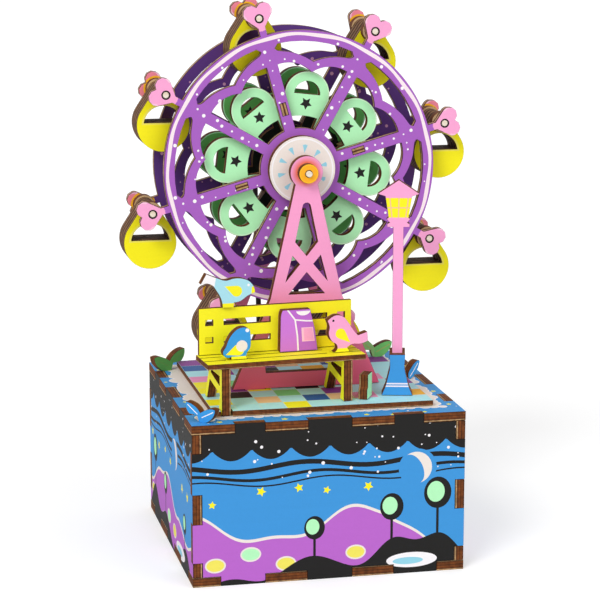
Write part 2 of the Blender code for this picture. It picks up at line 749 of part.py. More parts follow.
def wheel_loops():
    """A wheel plate: the outline, its cut-outs and its holes."""
    loops = [wheel_outline(), circle(HOLE_R, HOLE_STEPS)]
    for i in range(SEATS):
        middle = FIRST_PIN + (i + 0.5) * SECTOR
        loops += [turned(sector_slot(), middle), turned(sector_window(), middle)]
    loops += [circle(HOLE_R, HOLE_STEPS, place) for place in pin_places()]
    return loops + spacer_slots()


def flower_loops():
    """Eight petals with a half moon in each, joined by a ring round the hub."""
    outline, holes = [], [circle(HOLE_R, HOLE_STEPS)]
    sweep = math.radians(PETAL_SWEEP_DEG)
    slot_half = HALF_SECTOR * HUB_SLOT_SHARE
    for i in range(SEATS):
        middle = FIRST_PIN + (i + 0.5) * SECTOR
        petal = arc((PETAL_CENTRE_R, 0.0), PETAL_R, -sweep, sweep, 2 * ARC_STEPS)
        outline += turned(petal, middle) + [polar(VALLEY_R, middle + HALF_SECTOR)]
        moon = arc((PETAL_CENTRE_R, 0.0), MOON_R, -math.pi / 2, math.pi / 2, ARC_STEPS + 1)
        holes.append(turned(moon, middle))
        slot = arc((0.0, 0.0), HUB_SLOT_OUT_R, -slot_half, slot_half, 3)
        slot += arc((0.0, 0.0), HUB_SLOT_IN_R, slot_half, -slot_half, 3)
        holes.append(turned(slot, middle))
    return [outline] + holes + spacer_slots()


def build_wheel():
    """Everything that turns with the axle, apart from the gondolas."""
    hub = axis_empty("wheel_axis", (0.0, 0.0, AXLE_Z))
    loops = wheel_loops()
    layer("wheel_front_plate", loops, PLY, WHEEL_FRONT_Y, "purple", hub)
    layer("wheel_rear_plate", loops, PLY, WHEEL_REAR_Y, "purple", hub)
    petals = flower_loops()
    layer("flower_front", petals, PLY, FLOWER_FRONT_Y, "mint", hub)
    layer("flower_rear", petals, PLY, FLOWER_REAR_Y, "mint", hub)
    disc = [circle(HUB_DISC_R, 2 * ROUND_STEPS), circle(HOLE_R, HOLE_STEPS)]
    layer("hub_disc_front", disc, PLY, DISC_FRONT_Y, "cream", hub)
    layer("hub_disc_rear", disc, PLY, DISC_REAR_Y, "cream", hub)
    ring = [circle(AXLE_RING_R, ROUND_STEPS), circle(HOLE_R, HOLE_STEPS)]
    layer("axle_ring", ring, PLY, RING_Y, "orange", hub)
    axle = collared_rod(RING_Y - AXLE_PROUD, BELT_Y + PULLEY_W / 2 + AXLE_PROUD,
                        (WASHER_FRONT_Y, WASHER_REAR_Y))
    turned_solid("wheel_axle", axle, False, (0.0, 0.0, 0.0), "dowel", hub, 2 * HOLE_STEPS)
    build_spacers(hub)
    build_pins(hub)
    build_wheel_pulley(hub)
    return hub


def build_spacers(hub):
    """Four strips whose tenons lock the wheel plates and the flowers together."""
    depth = WHEEL_BACK_Y - WHEEL_FRONT_Y
    shoulder = GONDOLA_Y - WHEEL_FRONT_Y
    half = SPACER_TENON / 2
    outline = stepped_rectangle(-depth / 2, depth / 2, -half, half,
                                [(shoulder - depth / 2, depth / 2 - shoulder, -SPACER_SHOULDER)],
                                top=[(shoulder - depth / 2, depth / 2 - shoulder, -SPACER_SHOULDER)])
    for i, angle in enumerate(spacer_angles(), 1):
        x, z = polar(SPACER_R, angle)
        name = f"wheel_spacer_{i}"
        piece = plate(name, [outline], THIN_PLY, "side", (0.0, 0.0, 0.0), "bare_ply", parent=hub)
        place = Matrix.Translation((x, WHEEL_FRONT_Y + depth / 2, z))
        piece.matrix_local = place @ Matrix.Rotation(math.pi / 2 - angle, 4, "Y") @ FACINGS["side"]


def collared_rod(front, back, washers):
    """The profile of a rod with a ring washer pressed on at each given Y."""
    profile = [(0.0, front), (ROD_R, front)]
    for y in washers:
        profile += [(ROD_R, y), (WASHER_R, y), (WASHER_R, y + PLY), (ROD_R, y + PLY)]
    return profile + [(ROD_R, back), (0.0, back)]


def build_pins(hub):
    """The gondolas' pins, each with the two washers that keep its gondola off the plates."""
    profile = collared_rod(WHEEL_FRONT_Y, WHEEL_BACK_Y, (FLOWER_FRONT_Y, FLOWER_REAR_Y))
    for i, (x, z) in enumerate(pin_places(), 1):
        turned_solid(f"gondola_pin_{i}", profile, False, (x, 0.0, z), "dowel", hub, 12)


def build_gondolas(hub):
    """Eight gondolas, each glued up from four layers, hung on their pins."""
    lean = math.asin((GONDOLA_R - LUG_R) / GONDOLA_DROP)
    centre = (0.0, -GONDOLA_DROP)
    outline = arc((0.0, 0.0), LUG_R, lean, math.pi - lean, 4)
    outline += arc(centre, GONDOLA_R, math.pi - lean, math.tau + lean, 16)
    sill = math.asin(WINDOW_SILL / WINDOW_R)
    window = arc(centre, WINDOW_R, sill, math.pi - sill, 8)
    loops = [outline, window, circle(HOLE_R, HOLE_STEPS)]
    for i, (x, z) in enumerate(pin_places(), 1):
        swing = axis_empty(f"gondola_{i}_axis", (x, 0.0, z), hub)
        layer(f"gondola_{i}", loops, GONDOLA_W, GONDOLA_Y, "yellow", swing)


# Drive

def pulley_profile(belt_r):
    """The outside of a pulley, from front to back, with the groove that the belt lies in."""
    groove = belt_r - BELT_R - GAP
    flange = belt_r + PULLEY_FLANGE
    half = PULLEY_W / 2
    land = half - PULLEY_LAND
    outside = [(flange, -half), (flange, -land), (groove, -BELT_R), (groove, BELT_R),
               (flange, land), (flange, half)]
    return [(r, BELT_Y + y) for r, y in outside]


def build_wheel_pulley(hub):
    """The wooden pulley on the back end of the wheel axle."""
    bore = ROD_R + GAP
    outside = pulley_profile(WHEEL_BELT_R)
    profile = outside + [(bore, outside[-1][1]), (bore, outside[0][1])]
    turned_solid("wheel_pulley", profile, True, (0.0, 0.0, 0.0), "bare_ply", hub)


def build_belt():
    """The rubber belt round both pulleys, as one closed loop."""
    lean = math.asin((CRANK_BELT_R - WHEEL_BELT_R) / (AXLE_Z - CRANK_Z))
    route = arc((0.0, AXLE_Z), WHEEL_BELT_R, lean, math.pi - lean, 2 * ARC_STEPS)
    route += arc((0.0, CRANK_Z), CRANK_BELT_R, math.pi - lean, math.tau + lean, 2 * ARC_STEPS)
    curve = bpy.data.curves.new("drive_belt", "CURVE")
    curve.dimensions = "3D"
    curve.bevel_depth = BELT_R
    curve.bevel_resolution = 2
    spline = curve.splines.new("POLY")
    spline.points.add(len(route) - 1)
    for point, (x, z) in zip(spline.points, route):
        point.co = (x, 0.0, z, 1.0)
    spline.use_cyclic_u = True
    obj = bpy.data.objects.new("drive_belt", curve)
    link(obj, "rubber", TOY)
    obj.location = (0.0, BELT_Y, 0.0)


def build_crank():
    """The crank shaft with its pinion and pulley in one, the arm and the turning knob."""
    crank = axis_empty("crank_axis", (0.0, 0.0, CRANK_Z))
    arm_front = BOX_D / 2 + GAP
    shaft_front = FRAME_FRONT_Y - OVERRUN
    shaft_back = arm_front + PLY
    pulley = pulley_profile(CRANK_BELT_R)
    profile = [(0.0, shaft_front), (SHAFT_R, shaft_front), (SHAFT_R, pulley[0][1]), *pulley,
               (SHAFT_R, pulley[-1][1]), (SHAFT_R, shaft_back), (0.0, shaft_back)]
    shaft = turned_solid("crank_shaft", profile, False, (0.0, 0.0, 0.0), "steel", crank, 2 * HOLE_STEPS)
    pinion_y = FRAME_BACK_Y - FRAME_PLATE - GAP - GEAR_W
    teeth = gear_outline(PINION_TEETH, PINION_PITCH_R, 0.0)
    gear = layer("pinion", [teeth], GEAR_W, pinion_y, "brass", crank)
    bpy.context.view_layer.update()
    gear = made_mesh(gear)
    TOY.objects.unlink(gear)
    CUTTERS.objects.link(gear)
    combine(shaft, gear, "UNION")
    half = CRANK_ARM_W / 2
    arm = arc((0.0, 0.0), half, 0.0, math.pi, ARC_STEPS)
    arm += arc((0.0, -CRANK_ARM), half, math.pi, math.tau, ARC_STEPS)
    holes = [circle(SHAFT_R + GAP, HOLE_STEPS), circle(HOLE_R, HOLE_STEPS, (0.0, -CRANK_ARM))]
    layer("crank_arm", [arm] + holes, PLY, arm_front, "yellow", crank)
    knob = axis_empty("crank_knob_axis", (0.0, 0.0, -CRANK_ARM), crank)
    start = arm_front + PLY + GAP
    end = start + KNOB_L
    profile = [(0.0, arm_front), (ROD_R, arm_front), (ROD_R, start), (KNOB_NECK_R, start),
               (KNOB_R, start + KNOB_L / 2), (KNOB_R, end - KNOB_ROUND),
               (KNOB_R - KNOB_ROUND, end), (0.0, end)]
    turned_solid("crank_knob", profile, False, (0.0, 0.0, 0.0), "pink", knob)


# Musical movement

def build_movement():
    """The frame, the comb and the pinned drum that the pinion turns."""
    base_z = FLOOR_TOP + GAP
    top_z = CRANK_Z + FRAME_TOP_RISE
    depth = FRAME_BACK_Y - FRAME_FRONT_Y
    inner_top = top_z - base_z - FRAME_PLATE
    cheeks = stepped_rectangle(FRAME_FRONT_Y, FRAME_BACK_Y, base_z, top_z,
                               top=[(FRAME_FRONT_Y + FRAME_PLATE, FRAME_BACK_Y - FRAME_PLATE, inner_top)])
    width = FRAME_RIGHT_X + FRAME_LEFT_X
    frame = plate("movement_frame", [cheeks], width, "side",
                  ((FRAME_RIGHT_X - FRAME_LEFT_X) / 2, 0.0, 0.0), "steel")
    frame = made_mesh(frame)
    drill(frame, SHAFT_R + GAP, depth + 2 * OVERRUN, (0.0, FRAME_FRONT_Y - OVERRUN, CRANK_Z))
    drill(frame, HOLE_R, depth + 2 * OVERRUN, (DRUM_X, FRAME_FRONT_Y - OVERRUN, CRANK_Z))
    drum_y = FRAME_FRONT_Y + FRAME_PLATE + OVERRUN
    comb_z = CRANK_Z - COMB_T / 2
    block_low = (-FRAME_LEFT_X, drum_y, base_z + FRAME_PLATE / 2)
    block_high = (COMB_BLOCK_W - FRAME_LEFT_X, drum_y + DRUM_L, comb_z - GAP)
    combine(frame, block("comb_block", block_low, block_high, "steel", CUTTERS), "UNION")
    tip_x = DRUM_X - DRUM_R - DRUM_PIN - GAP
    tooth = DRUM_L / (2 * COMB_TEETH - 1)
    gaps = [(drum_y + (2 * i + 1) * tooth, drum_y + (2 * i + 2) * tooth, COMB_TOOTH_L)
            for i in range(COMB_TEETH - 1)]
    comb = stepped_rectangle(tip_x - COMB_L, tip_x, drum_y, drum_y + DRUM_L, right=gaps)
    plate("movement_comb", [comb], COMB_T, "up", (0.0, 0.0, CRANK_Z), "steel")
    build_drum(drum_y)


def build_drum(drum_y):
    """The pinned drum, its gear and its stub axles."""
    axis = axis_empty("drum_axis", (DRUM_X, 0.0, CRANK_Z))
    front, back = FRAME_FRONT_Y + GAP, FRAME_BACK_Y - GAP
    profile = [(0.0, front), (ROD_R, front), (ROD_R, drum_y), (DRUM_R, drum_y), (DRUM_R, drum_y + DRUM_L),
               (ROD_R, drum_y + DRUM_L), (ROD_R, back), (0.0, back)]
    drum = turned_solid("music_drum", profile, False, (0.0, 0.0, 0.0), "brass", axis)
    gear_y = FRAME_BACK_Y - FRAME_PLATE - GAP - GEAR_W
    pitch_r = PINION_PITCH_R * DRUM_TEETH / PINION_TEETH
    gear = layer("drum_gear", [gear_outline(DRUM_TEETH, pitch_r, 0.5)], GEAR_W, gear_y, "brass", axis)
    bpy.context.view_layer.update()
    gear = made_mesh(gear)
    TOY.objects.unlink(gear)
    CUTTERS.objects.link(gear)
    combine(drum, gear, "UNION")
    half = DRUM_PIN_W / 2
    row = DRUM_L / DRUM_PIN_ROWS
    for i in range(DRUM_PIN_ROWS):
        middle = drum_y + row * (i + 0.5)
        spikes = []
        for j in range(DRUM_PINS_ROUND):
            angle = math.tau * (j + i / DRUM_PIN_ROWS) / DRUM_PINS_ROUND
            reach = half / (DRUM_R + DRUM_PIN)
            spikes += [polar(DRUM_R - DRUM_PIN, angle - reach), polar(DRUM_R + DRUM_PIN, angle - reach),
                       polar(DRUM_R + DRUM_PIN, angle + reach), polar(DRUM_R - DRUM_PIN, angle + reach)]
        pins = layer("drum_pins", [spikes], DRUM_PIN_W, middle - half, "brass", axis)
        bpy.context.view_layer.update()
        pins = made_mesh(pins)
        TOY.objects.unlink(pins)
        CUTTERS.objects.link(pins)
        combine(drum, pins, "UNION")


# Bench

def build_bench():
    """The bench and what sits on it, all carried by one empty at the middle of its front edge."""
    bench = axis_empty("bench_place", (BENCH_X, BENCH_FRONT_Y, 0.0))
    bench.rotation_euler.z = math.radians(BENCH_TURN_DEG)
    seat_z = SEAT_TOP - THIN_PLY / 2
    plate("bench_seat", seat_loops(), THIN_PLY, "up", (0.0, 0.0, seat_z), "yellow", parent=bench)
    layer("bench_back", back_loops(), THIN_PLY, SEAT_D - THIN_PLY, "yellow", bench, z=SEAT_TOP + GAP)
    plate("bench_leg_left", leg_loops(THIN_PLY), PLY, "side", (-LEG_X, 0.0, 0.0), "yellow", parent=bench)
    plate("bench_leg_right", leg_loops(0.0), PLY, "side", (LEG_X, 0.0, 0.0), "yellow", parent=bench)
    build_figures(bench)


def seat_loops():
    """Three planks, cut in one sheet, with the gaps between them interrupted by bridges."""
    half, half_gap = BENCH_L / 2, PLANK_GROOVE / 2
    joints = [SEAT_D * i / 3 for i in (1, 2)]
    notches = [(y - half_gap, y + half_gap, PLANK_NOTCH_L) for y in joints]
    slot = half - PLANK_NOTCH_L - PLANK_BRIDGE
    outline = stepped_rectangle(-half, half, 0.0, SEAT_D, right=notches, left=notches)
    return [outline] + [rectangle(-slot, slot, y - half_gap, y + half_gap) for y in joints]


def back_loops():
    """Three slats and their struts, cut in one sheet that stands on the seat's rear edge."""
    half = BACK_L / 2
    slat = (BACK_H - 2 * SLAT_GAP) / 3
    inner = half - BACK_END_W
    slot = inner - BACK_END_SLOT
    middle = slot - BACK_STRUT_W
    loops = [rectangle(-half, half, 0.0, BACK_H)]
    for row in (1, 2):
        low = row * slat + (row - 1) * SLAT_GAP
        for x0, x1 in ((BACK_STRUT_W / 2, middle), (slot, inner)):
            loops.append(rectangle(x0, x1, low, low + SLAT_GAP))
            loops.append(rectangle(-x1, -x0, low, low + SLAT_GAP))
    return loops


def leg_loops(front_drop):
    """A leg plate from the side: an upright front leg, a raked rear leg and a slanting brace.

    The front foot reaches below the deck's top by the drop, into a notch in its edge.
    """
    top, low = SEAT_TOP - THIN_PLY - GAP, FOOT_Z
    height = top - low
    toe = LEG_W + LEG_TOE

    def rear(share, inset):
        return LEG_REACH + (LEG_REAR_TOP - LEG_REACH) * share - inset, low + height * share

    bar = 1 - LEG_W / height
    brace = LEG_W / height
    high, mid = LEG_BRACE_HIGH_SHARE, LEG_BRACE_LOW_SHARE
    outline = [
        (0.0, low - front_drop), (toe, low - front_drop), (toe, low), (LEG_W, low + LEG_TOE_H),
        (LEG_W, low + height * (mid - brace)), rear(high - brace, LEG_W), rear(0.0, LEG_W), rear(0.0, 0.0),
        rear(1.0, 0.0), (0.0, top),
    ]
    opening = [(LEG_W, low + height * mid), rear(high, LEG_W), rear(bar, LEG_W), (LEG_W, low + height * bar)]
    return [outline, opening]


# Birds, bag, lamp and garden

RAIL_BIRD_SHARES = (
    (0.40, 0.0), (0.60, 0.0), (0.61, 0.14), (0.71, 0.16), (0.86, 0.31), (1.0, 0.40), (0.98, 0.55),
    (0.90, 0.72), (0.77, 0.81), (0.61, 0.83), (0.46, 0.78), (0.29, 0.87), (0.10, 1.0), (0.0, 0.72),
    (0.21, 0.67), (0.29, 0.50), (0.38, 0.22),
)
SEAT_BIRD_SHARES = (
    (0.30, 0.0), (0.86, 0.0), (0.84, 0.15), (0.97, 0.34), (1.0, 0.58), (0.97, 0.91), (0.84, 1.0),
    (0.60, 1.0), (0.40, 0.88), (0.20, 0.63), (0.11, 0.42), (0.0, 0.24), (0.05, 0.12), (0.30, 0.09),
)
PINK_BIRD_SHARES = (
    (0.16, 0.0), (0.54, 0.0), (0.48, 0.11), (0.62, 0.20), (0.80, 0.19), (1.0, 0.26), (0.98, 0.50),
    (0.75, 0.42), (0.62, 0.60), (0.50, 0.80), (0.36, 0.97), (0.20, 1.0), (0.08, 0.94), (0.0, 0.86),
    (0.05, 0.70), (0.03, 0.50), (0.10, 0.32), (0.24, 0.18), (0.24, 0.08),
)
BAG_SHARES = ((0.0, 0.0), (1.0, 0.0), (0.93, 0.50), (0.80, 1.0), (0.07, 1.0), (0.02, 0.84))
SPROUT_SHARES = (
    (0.28, 0.0), (0.56, 0.0), (0.62, 0.34), (0.88, 0.37), (0.98, 0.62), (1.0, 1.0), (0.78, 0.90),
    (0.60, 0.68), (0.51, 0.46), (0.34, 0.64), (0.12, 0.76), (0.0, 0.72), (0.03, 0.46), (0.13, 0.20),
)
TWIN_SHARES = tuple((1.0 - x, z) for x, z in reversed(SPROUT_SHARES))
LEAF_SHARES = (
    (0.06, 0.0), (0.26, 0.0), (0.58, 0.26), (0.88, 0.58), (1.0, 0.88), (0.93, 1.0), (0.70, 0.96),
    (0.30, 0.68), (0.0, 0.34),
)


def figure(name, shares, width, height, place, material, turn_deg=0.0, parent=None):
    """A small standing plate whose outline is given in shares of its width and its height."""
    outline = [(px * width - width / 2, pz * height) for px, pz in shares]
    plate(name, [outline], PLY, "front", place, material, math.radians(turn_deg), parent)


def build_figures(bench):
    """Three birds and the school bag."""
    stand = SEAT_TOP + GAP
    rail = (RAIL_BIRD_INSET - BENCH_L / 2, SEAT_D - PLY / 2, stand + BACK_H + GAP)
    figure("bird_on_rail", RAIL_BIRD_SHARES, RAIL_BIRD_L, RAIL_BIRD_H, rail, "sky_blue", parent=bench)
    left = (SEAT_BIRD_INSET - BENCH_L / 2, SEAT_BIRD_DEPTH, stand)
    figure("bird_on_seat_left", SEAT_BIRD_SHARES, SEAT_BIRD_L, SEAT_BIRD_H, left, "mid_blue", parent=bench)
    right = (BENCH_L / 2 - PINK_BIRD_INSET, SEAT_BIRD_DEPTH, stand)
    figure("bird_on_seat_right", PINK_BIRD_SHARES, PINK_BIRD_L, PINK_BIRD_H, right, "pink", parent=bench)
    bag = (BAG_X, SEAT_D - THIN_PLY - GAP - PLY / 2, stand)
    figure("school_bag", BAG_SHARES, BAG_W, BAG_H, bag, "orchid", parent=bench)


def build_lamp():
    """The street lamp: one tall plate with its lantern, and a base plate in front of it."""
    turn = math.radians(LAMP_TURN_DEG)
    half_post, half_top = LAMP_POST_W / 2, FOOT_STEPS[-1][0]
    shoulder = LAMP_BASE_H + LAMP_SHOULDER_H
    half = [(LAMP_TENON_W / 2, DECK_Z - FOOT_Z), (LAMP_TENON_W / 2, 0.0), *FOOT_STEPS,
            (half_top, shoulder), (half_post, shoulder), (half_post, LANTERN_STEPS[0][1]), *LANTERN_STEPS]
    outline = half + [(0.0, LAMP_H)] + [(-x, y) for x, y in reversed(half)]
    plate("lamp_post", [outline], PLY, "front", (LAMP_X, LAMP_Y, FOOT_Z), "pink", turn)
    base = mirrored([*FOOT_STEPS, (half_top, LAMP_BASE_H)])
    step = PLY + GAP
    place = (LAMP_X + math.sin(turn) * step, LAMP_Y - math.cos(turn) * step, FOOT_Z)
    plate("lamp_base", [base], PLY, "front", place, "mid_blue", turn)


def build_garden():
    """Leafy sprouts round the deck, and a small post beside the lamp."""
    margin_z = BOX_H + GAP
    deck_x, deck_y = BOX_W / 2 - DECK_MARGIN, BOX_D / 2 - DECK_MARGIN
    place = (-deck_x - SPROUT_CLEAR, BOX_D / 2 - BACK_LEFT_SPROUT_INSET, margin_z)
    figure("sprout_back_left", SPROUT_SHARES, SPROUT_W, SPROUT_H, place, "leaf_green", BACK_LEFT_SPROUT_DEG)
    place = (deck_x - DECK_SPROUT_SIDE, deck_y - DECK_SPROUT_INSET, FOOT_Z)
    figure("sprout_back_right", TWIN_SHARES, SPROUT_W, SPROUT_H, place, "leaf_green")
    place = (-deck_x - SPROUT_CLEAR, FRONT_LEFT_SPROUT_INSET - BOX_D / 2, margin_z)
    width, height = SPROUT_W * SMALL_SPROUT_SCALE, SPROUT_H * SMALL_SPROUT_SCALE
    figure("sprout_front_left", TWIN_SHARES, width, height, place, "mid_blue", FRONT_LEFT_SPROUT_DEG)
    place = (deck_x + LEAF_CLEAR, LEAF_INSET - BOX_D / 2, margin_z)
    figure("leaf_right", LEAF_SHARES, LEAF_W, LEAF_H, place, "mid_blue", LEAF_DEG)
    half = POST_W / 2
    post = [(-half - POST_FOOT, 0.0), (half, 0.0), (half, POST_H), (-half, POST_H), (-half, POST_H / 2),
            (-half - POST_FOOT, POST_H / 2 - POST_FOOT)]
    turn = math.radians(POST_TURN_DEG)
    place = (BOX_W / 2 - POST_SIDE, BENCH_FRONT_Y + POST_SET_BACK + half, FOOT_Z)
    plate("deck_post", [post], PLY, "side", place, "mint", turn)


for stale in list(bpy.data.objects):
    bpy.data.objects.remove(stale)
TOY = new_collection("crank_ferris_wheel_toy")
CUTTERS = new_collection("cutters")

build_box()
build_deck()
build_supports()
build_gondolas(build_wheel())
build_belt()
build_crank()
build_movement()
build_bench()
build_lamp()
build_garden()
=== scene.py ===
"""Looks of the crank ferris wheel toy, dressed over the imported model.

Every flat piece is cut again from the outline of its CAD node: the outline is smoothed, the printed
areas are cut into the face, and a burnt plywood edge is carried round it. Round pieces are turned
from profiles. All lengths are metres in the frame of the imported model.
"""
import json
import logging
import math
from dataclasses import dataclass, field
from enum import Enum

import bpy
import numpy as np
from mathutils.geometry import delaunay_2d_cdt
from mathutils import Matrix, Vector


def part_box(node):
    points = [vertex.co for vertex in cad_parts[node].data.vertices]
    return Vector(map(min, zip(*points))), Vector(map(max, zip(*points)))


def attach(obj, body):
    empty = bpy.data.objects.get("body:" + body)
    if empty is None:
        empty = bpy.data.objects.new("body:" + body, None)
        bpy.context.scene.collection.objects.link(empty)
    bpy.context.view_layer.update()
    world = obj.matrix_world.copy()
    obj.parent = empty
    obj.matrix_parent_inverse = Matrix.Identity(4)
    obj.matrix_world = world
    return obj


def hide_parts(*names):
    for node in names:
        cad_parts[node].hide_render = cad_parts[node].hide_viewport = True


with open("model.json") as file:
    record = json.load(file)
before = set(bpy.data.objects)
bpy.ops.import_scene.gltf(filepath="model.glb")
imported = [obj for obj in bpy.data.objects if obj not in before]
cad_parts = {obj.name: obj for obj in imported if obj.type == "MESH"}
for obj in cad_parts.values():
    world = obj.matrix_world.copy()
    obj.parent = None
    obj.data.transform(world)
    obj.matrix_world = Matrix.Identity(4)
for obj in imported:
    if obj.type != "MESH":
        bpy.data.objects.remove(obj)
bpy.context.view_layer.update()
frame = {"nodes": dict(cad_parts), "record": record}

LOG = logging.getLogger("toy")
MM = 0.001
TAU = math.tau
Array = np.ndarray
Socket = bpy.types.NodeSocket
Colour = tuple[int, int, int]
Point = tuple[float, float]
Place = tuple[float, float, float]

# Plain gloss of every finish, how close a face must look to a plate's own axis, and how flat a face lies
SPECULAR = 0.22
AXIS_SHARE = 0.55
FLAT_SHARE = 0.99
FLAT_LIMIT = 1e-5
# An outline whose reach varies by less than this share is a circle, with this many points a step
ROUND_SHARE = 0.01
ROUND_STEPS = 12
# An edge this many times its neighbour's length keeps its own direction at their corner
MUCH_LONGER = 2.2
# A hole counts against more than every outline round it, and a mitre stops at this cosine
HOLE_WEIGHT = -9
MITRE_LIMIT = 0.5
# The cut map runs from just inside one glue line to just inside the next
MAP_SHARE = 0.998
MAP_START = 0.001
# Mesh points that agree to this many digits are one. The cut runs out to the convex hull, and joins
# points that are closer than its limit in millimetres
WELD_DIGITS = 7
CUT_KIND = 0
CUT_MERGE = 1e-5
# The height of the axle, the radius of the circle of pins, and the angles of the spokes and pins
AXLE_Z = 149.3
PIN_R = 60.2
SPOKES = math.radians(15.5) + np.arange(8) * math.pi / 4

RECORD = frame["record"]
BODY_OF = {node: body for body, nodes in RECORD["behaviour"]["bodies"].items() for node in nodes}


# Colour and materials

def linear(rgb: tuple[float, float, float]) -> tuple[float, float, float, float]:
    """Turn an 8 bit display colour into the linear colour that a shader takes.

    Args:
        rgb: red, green and blue from 0 to 255.
    Returns:
        linear red, green and blue with an alpha of one.
    """
    shares = np.asarray(rgb, float) / 255
    lin = np.where(shares <= 0.04045, shares / 12.92, ((shares + 0.055) / 1.055) ** 2.4)
    return (*map(float, lin), 1.0)


@dataclass
class Tree:
    """The nodes of one shader tree, added one by one and joined as they come."""

    tree: bpy.types.NodeTree

    def add(self, kind: str, inputs: dict[str | int, object], output: str | int = 0,
            **settings: object) -> Socket:
        """Add a node.

        Args:
            kind: the node's type without its ShaderNode prefix.
            inputs: a number, colour or socket for each named or numbered input.
            output: which output to hand back.
            settings: properties of the node itself.
        Returns:
            the chosen output socket.
        """
        node = self.tree.nodes.new("ShaderNode" + kind)
        for key, value in settings.items():
            setattr(node, key, value)
        for key, value in inputs.items():
            self.join(value, node.inputs[key])
        return node.outputs[output]

    def join(self, value: object, socket: Socket) -> None:
        """Set a socket to a value, or link it to another socket.

        Args:
            value: a number, a colour or an output socket.
            socket: the input socket.
        """
        if isinstance(value, Socket):
            self.tree.links.new(value, socket)
        else:
            socket.default_value = value

    def math(self, operation: str, *values: object) -> Socket:
        """A Math node of one operation on its values."""
        return self.add("Math", dict(enumerate(values)), operation=operation)


class Graph(Tree):
    """The nodes of one material."""

    def __init__(self, name: str) -> None:
        """Start an empty material, with its Principled shader on the output.

        Args:
            name: the material's name.
        """
        self.material = bpy.data.materials.new(name)
        self.material.use_nodes = True
        super().__init__(self.material.node_tree)
        self.shader = self.tree.nodes["Principled BSDF"]
        self.shader.inputs["Specular IOR Level"].default_value = SPECULAR

    def mix(self, share: object, first: object, second: object, blend: str = "MIX") -> Socket:
        """A colour between two, by a share."""
        return self.add("Mix", {0: share, 6: first, 7: second}, 2, data_type="RGBA", blend_type=blend)

    def ramp(self, share: object, stops: list[tuple[float, Colour]]) -> Socket:
        """A colour ramp through display colours.

        Args:
            share: how far along the ramp.
            stops: the place and colour of each stop, in order.
        Returns:
            the colour.
        """
        out = self.add("ValToRGB", {0: share})
        elements = out.node.color_ramp.elements
        elements[0].position, elements[0].color = stops[0][0], linear(stops[0][1])
        elements[1].position, elements[1].color = stops[-1][0], linear(stops[-1][1])
        for place, colour in stops[1:-1]:
            elements.new(place).color = linear(colour)
        return out

    def place(self, stretch: Place = (1.0, 1.0, 1.0)) -> Socket:
        """The Object coordinates, stretched by a scale along each axis."""
        source = self.add("TexCoord", {}, "Object")
        return self.add("Mapping", {"Vector": source, "Scale": stretch})

    def noise(self, scale: float, detail: float = 3.0, stretch: Place = (1.0, 1.0, 1.0)) -> Socket:
        """A noise of a given number of cells to the metre, on stretched Object coordinates."""
        return self.add("TexNoise", {"Vector": self.place(stretch), "Scale": scale, "Detail": detail})

    def bump(self, height: object, distance: float, strength: float = 0.6) -> None:
        """Raise the surface by a height in metres times its share."""
        normal = self.add("Bump", {"Height": height, "Distance": distance, "Strength": strength})
        self.join(normal, self.shader.inputs["Normal"])


@dataclass(frozen=True)
class Paint:
    """A matt printed or painted face on plywood, with a trace of the grain and of the roller."""

    name: str
    colour: Colour
    roughness: float = 0.58
    mottle: float = 0.07
    grain: float = 0.05
    grain_stretch: Place = (45.0, 700.0, 700.0)

    def colour_of(self, graph: Graph) -> object:
        """The plain colour before grain and mottle, as a socket or a constant."""
        return linear(self.colour)

    def material(self) -> bpy.types.Material:
        """The material, made once."""
        done = bpy.data.materials.get(self.name)
        return self.fill(Graph(self.name)) if done is None else done

    def fill(self, graph: Graph) -> bpy.types.Material:
        """Tint the plain colour by a fine mottle and a trace of grain, and roughen it by both.

        Args:
            graph: the empty material.
        Returns:
            the finished material.
        """
        base = self.colour_of(graph)
        fine = graph.noise(1400.0, 5.0)
        grain = graph.noise(1.0, 4.0, self.grain_stretch)
        tone = graph.math("MULTIPLY_ADD", fine, self.mottle, 1.0 - self.mottle / 2)
        tone = graph.math("MULTIPLY_ADD", grain, self.grain, graph.math("SUBTRACT", tone, self.grain / 2))
        grey = graph.add("CombineColor", {0: tone, 1: tone, 2: tone})
        graph.join(graph.mix(1.0, base, grey, "MULTIPLY"), graph.shader.inputs["Base Color"])
        rough = graph.math("MULTIPLY_ADD", fine, 0.16, self.roughness - 0.08)
        graph.join(rough, graph.shader.inputs["Roughness"])
        graph.bump(graph.math("ADD", fine, grain), 0.00004, 0.5)
        return graph.material


@dataclass(frozen=True)
class PaintedShadeAndGlow(Paint):
    """A paint darkened from its colour to a deep rose towards the bottom as painted shade, with a painted
    orange glow round the axle.
    """

    # The deep rose low down is painted shade under the bench; between low_z and high_z it fades up into the
    # pink
    low: Colour = (250, 106, 144)
    low_z: float = 0.068
    high_z: float = 0.106
    # A painted orange glow round the axle, though the plate gives no light
    glow: Colour = (255, 120, 70)
    glow_z: float = 0.1493
    glow_in: float = 0.0036
    glow_out: float = 0.0060

    def colour_of(self, graph: Graph) -> Socket:
        """Blend by height into the painted shade low down, then towards the painted glow by the distance from
        the axle in the plate's plane.

        Args:
            graph: the material that takes the nodes.
        Returns:
            the colour.
        """
        split = graph.add("SeparateXYZ", {0: graph.place()}, "Z")
        x = split.node.outputs["X"]
        rise = graph.add("MapRange", {"Value": split, "From Min": self.low_z, "From Max": self.high_z})
        body = graph.mix(rise, linear(self.low), linear(self.colour))
        drop = graph.math("SUBTRACT", split, self.glow_z)
        squares = graph.math("ADD", graph.math("MULTIPLY", x, x), graph.math("MULTIPLY", drop, drop))
        near = graph.add("MapRange", {"Value": graph.math("SQRT", squares), "From Min": self.glow_out,
                                      "From Max": self.glow_in})
        return graph.mix(near, body, linear(self.glow))


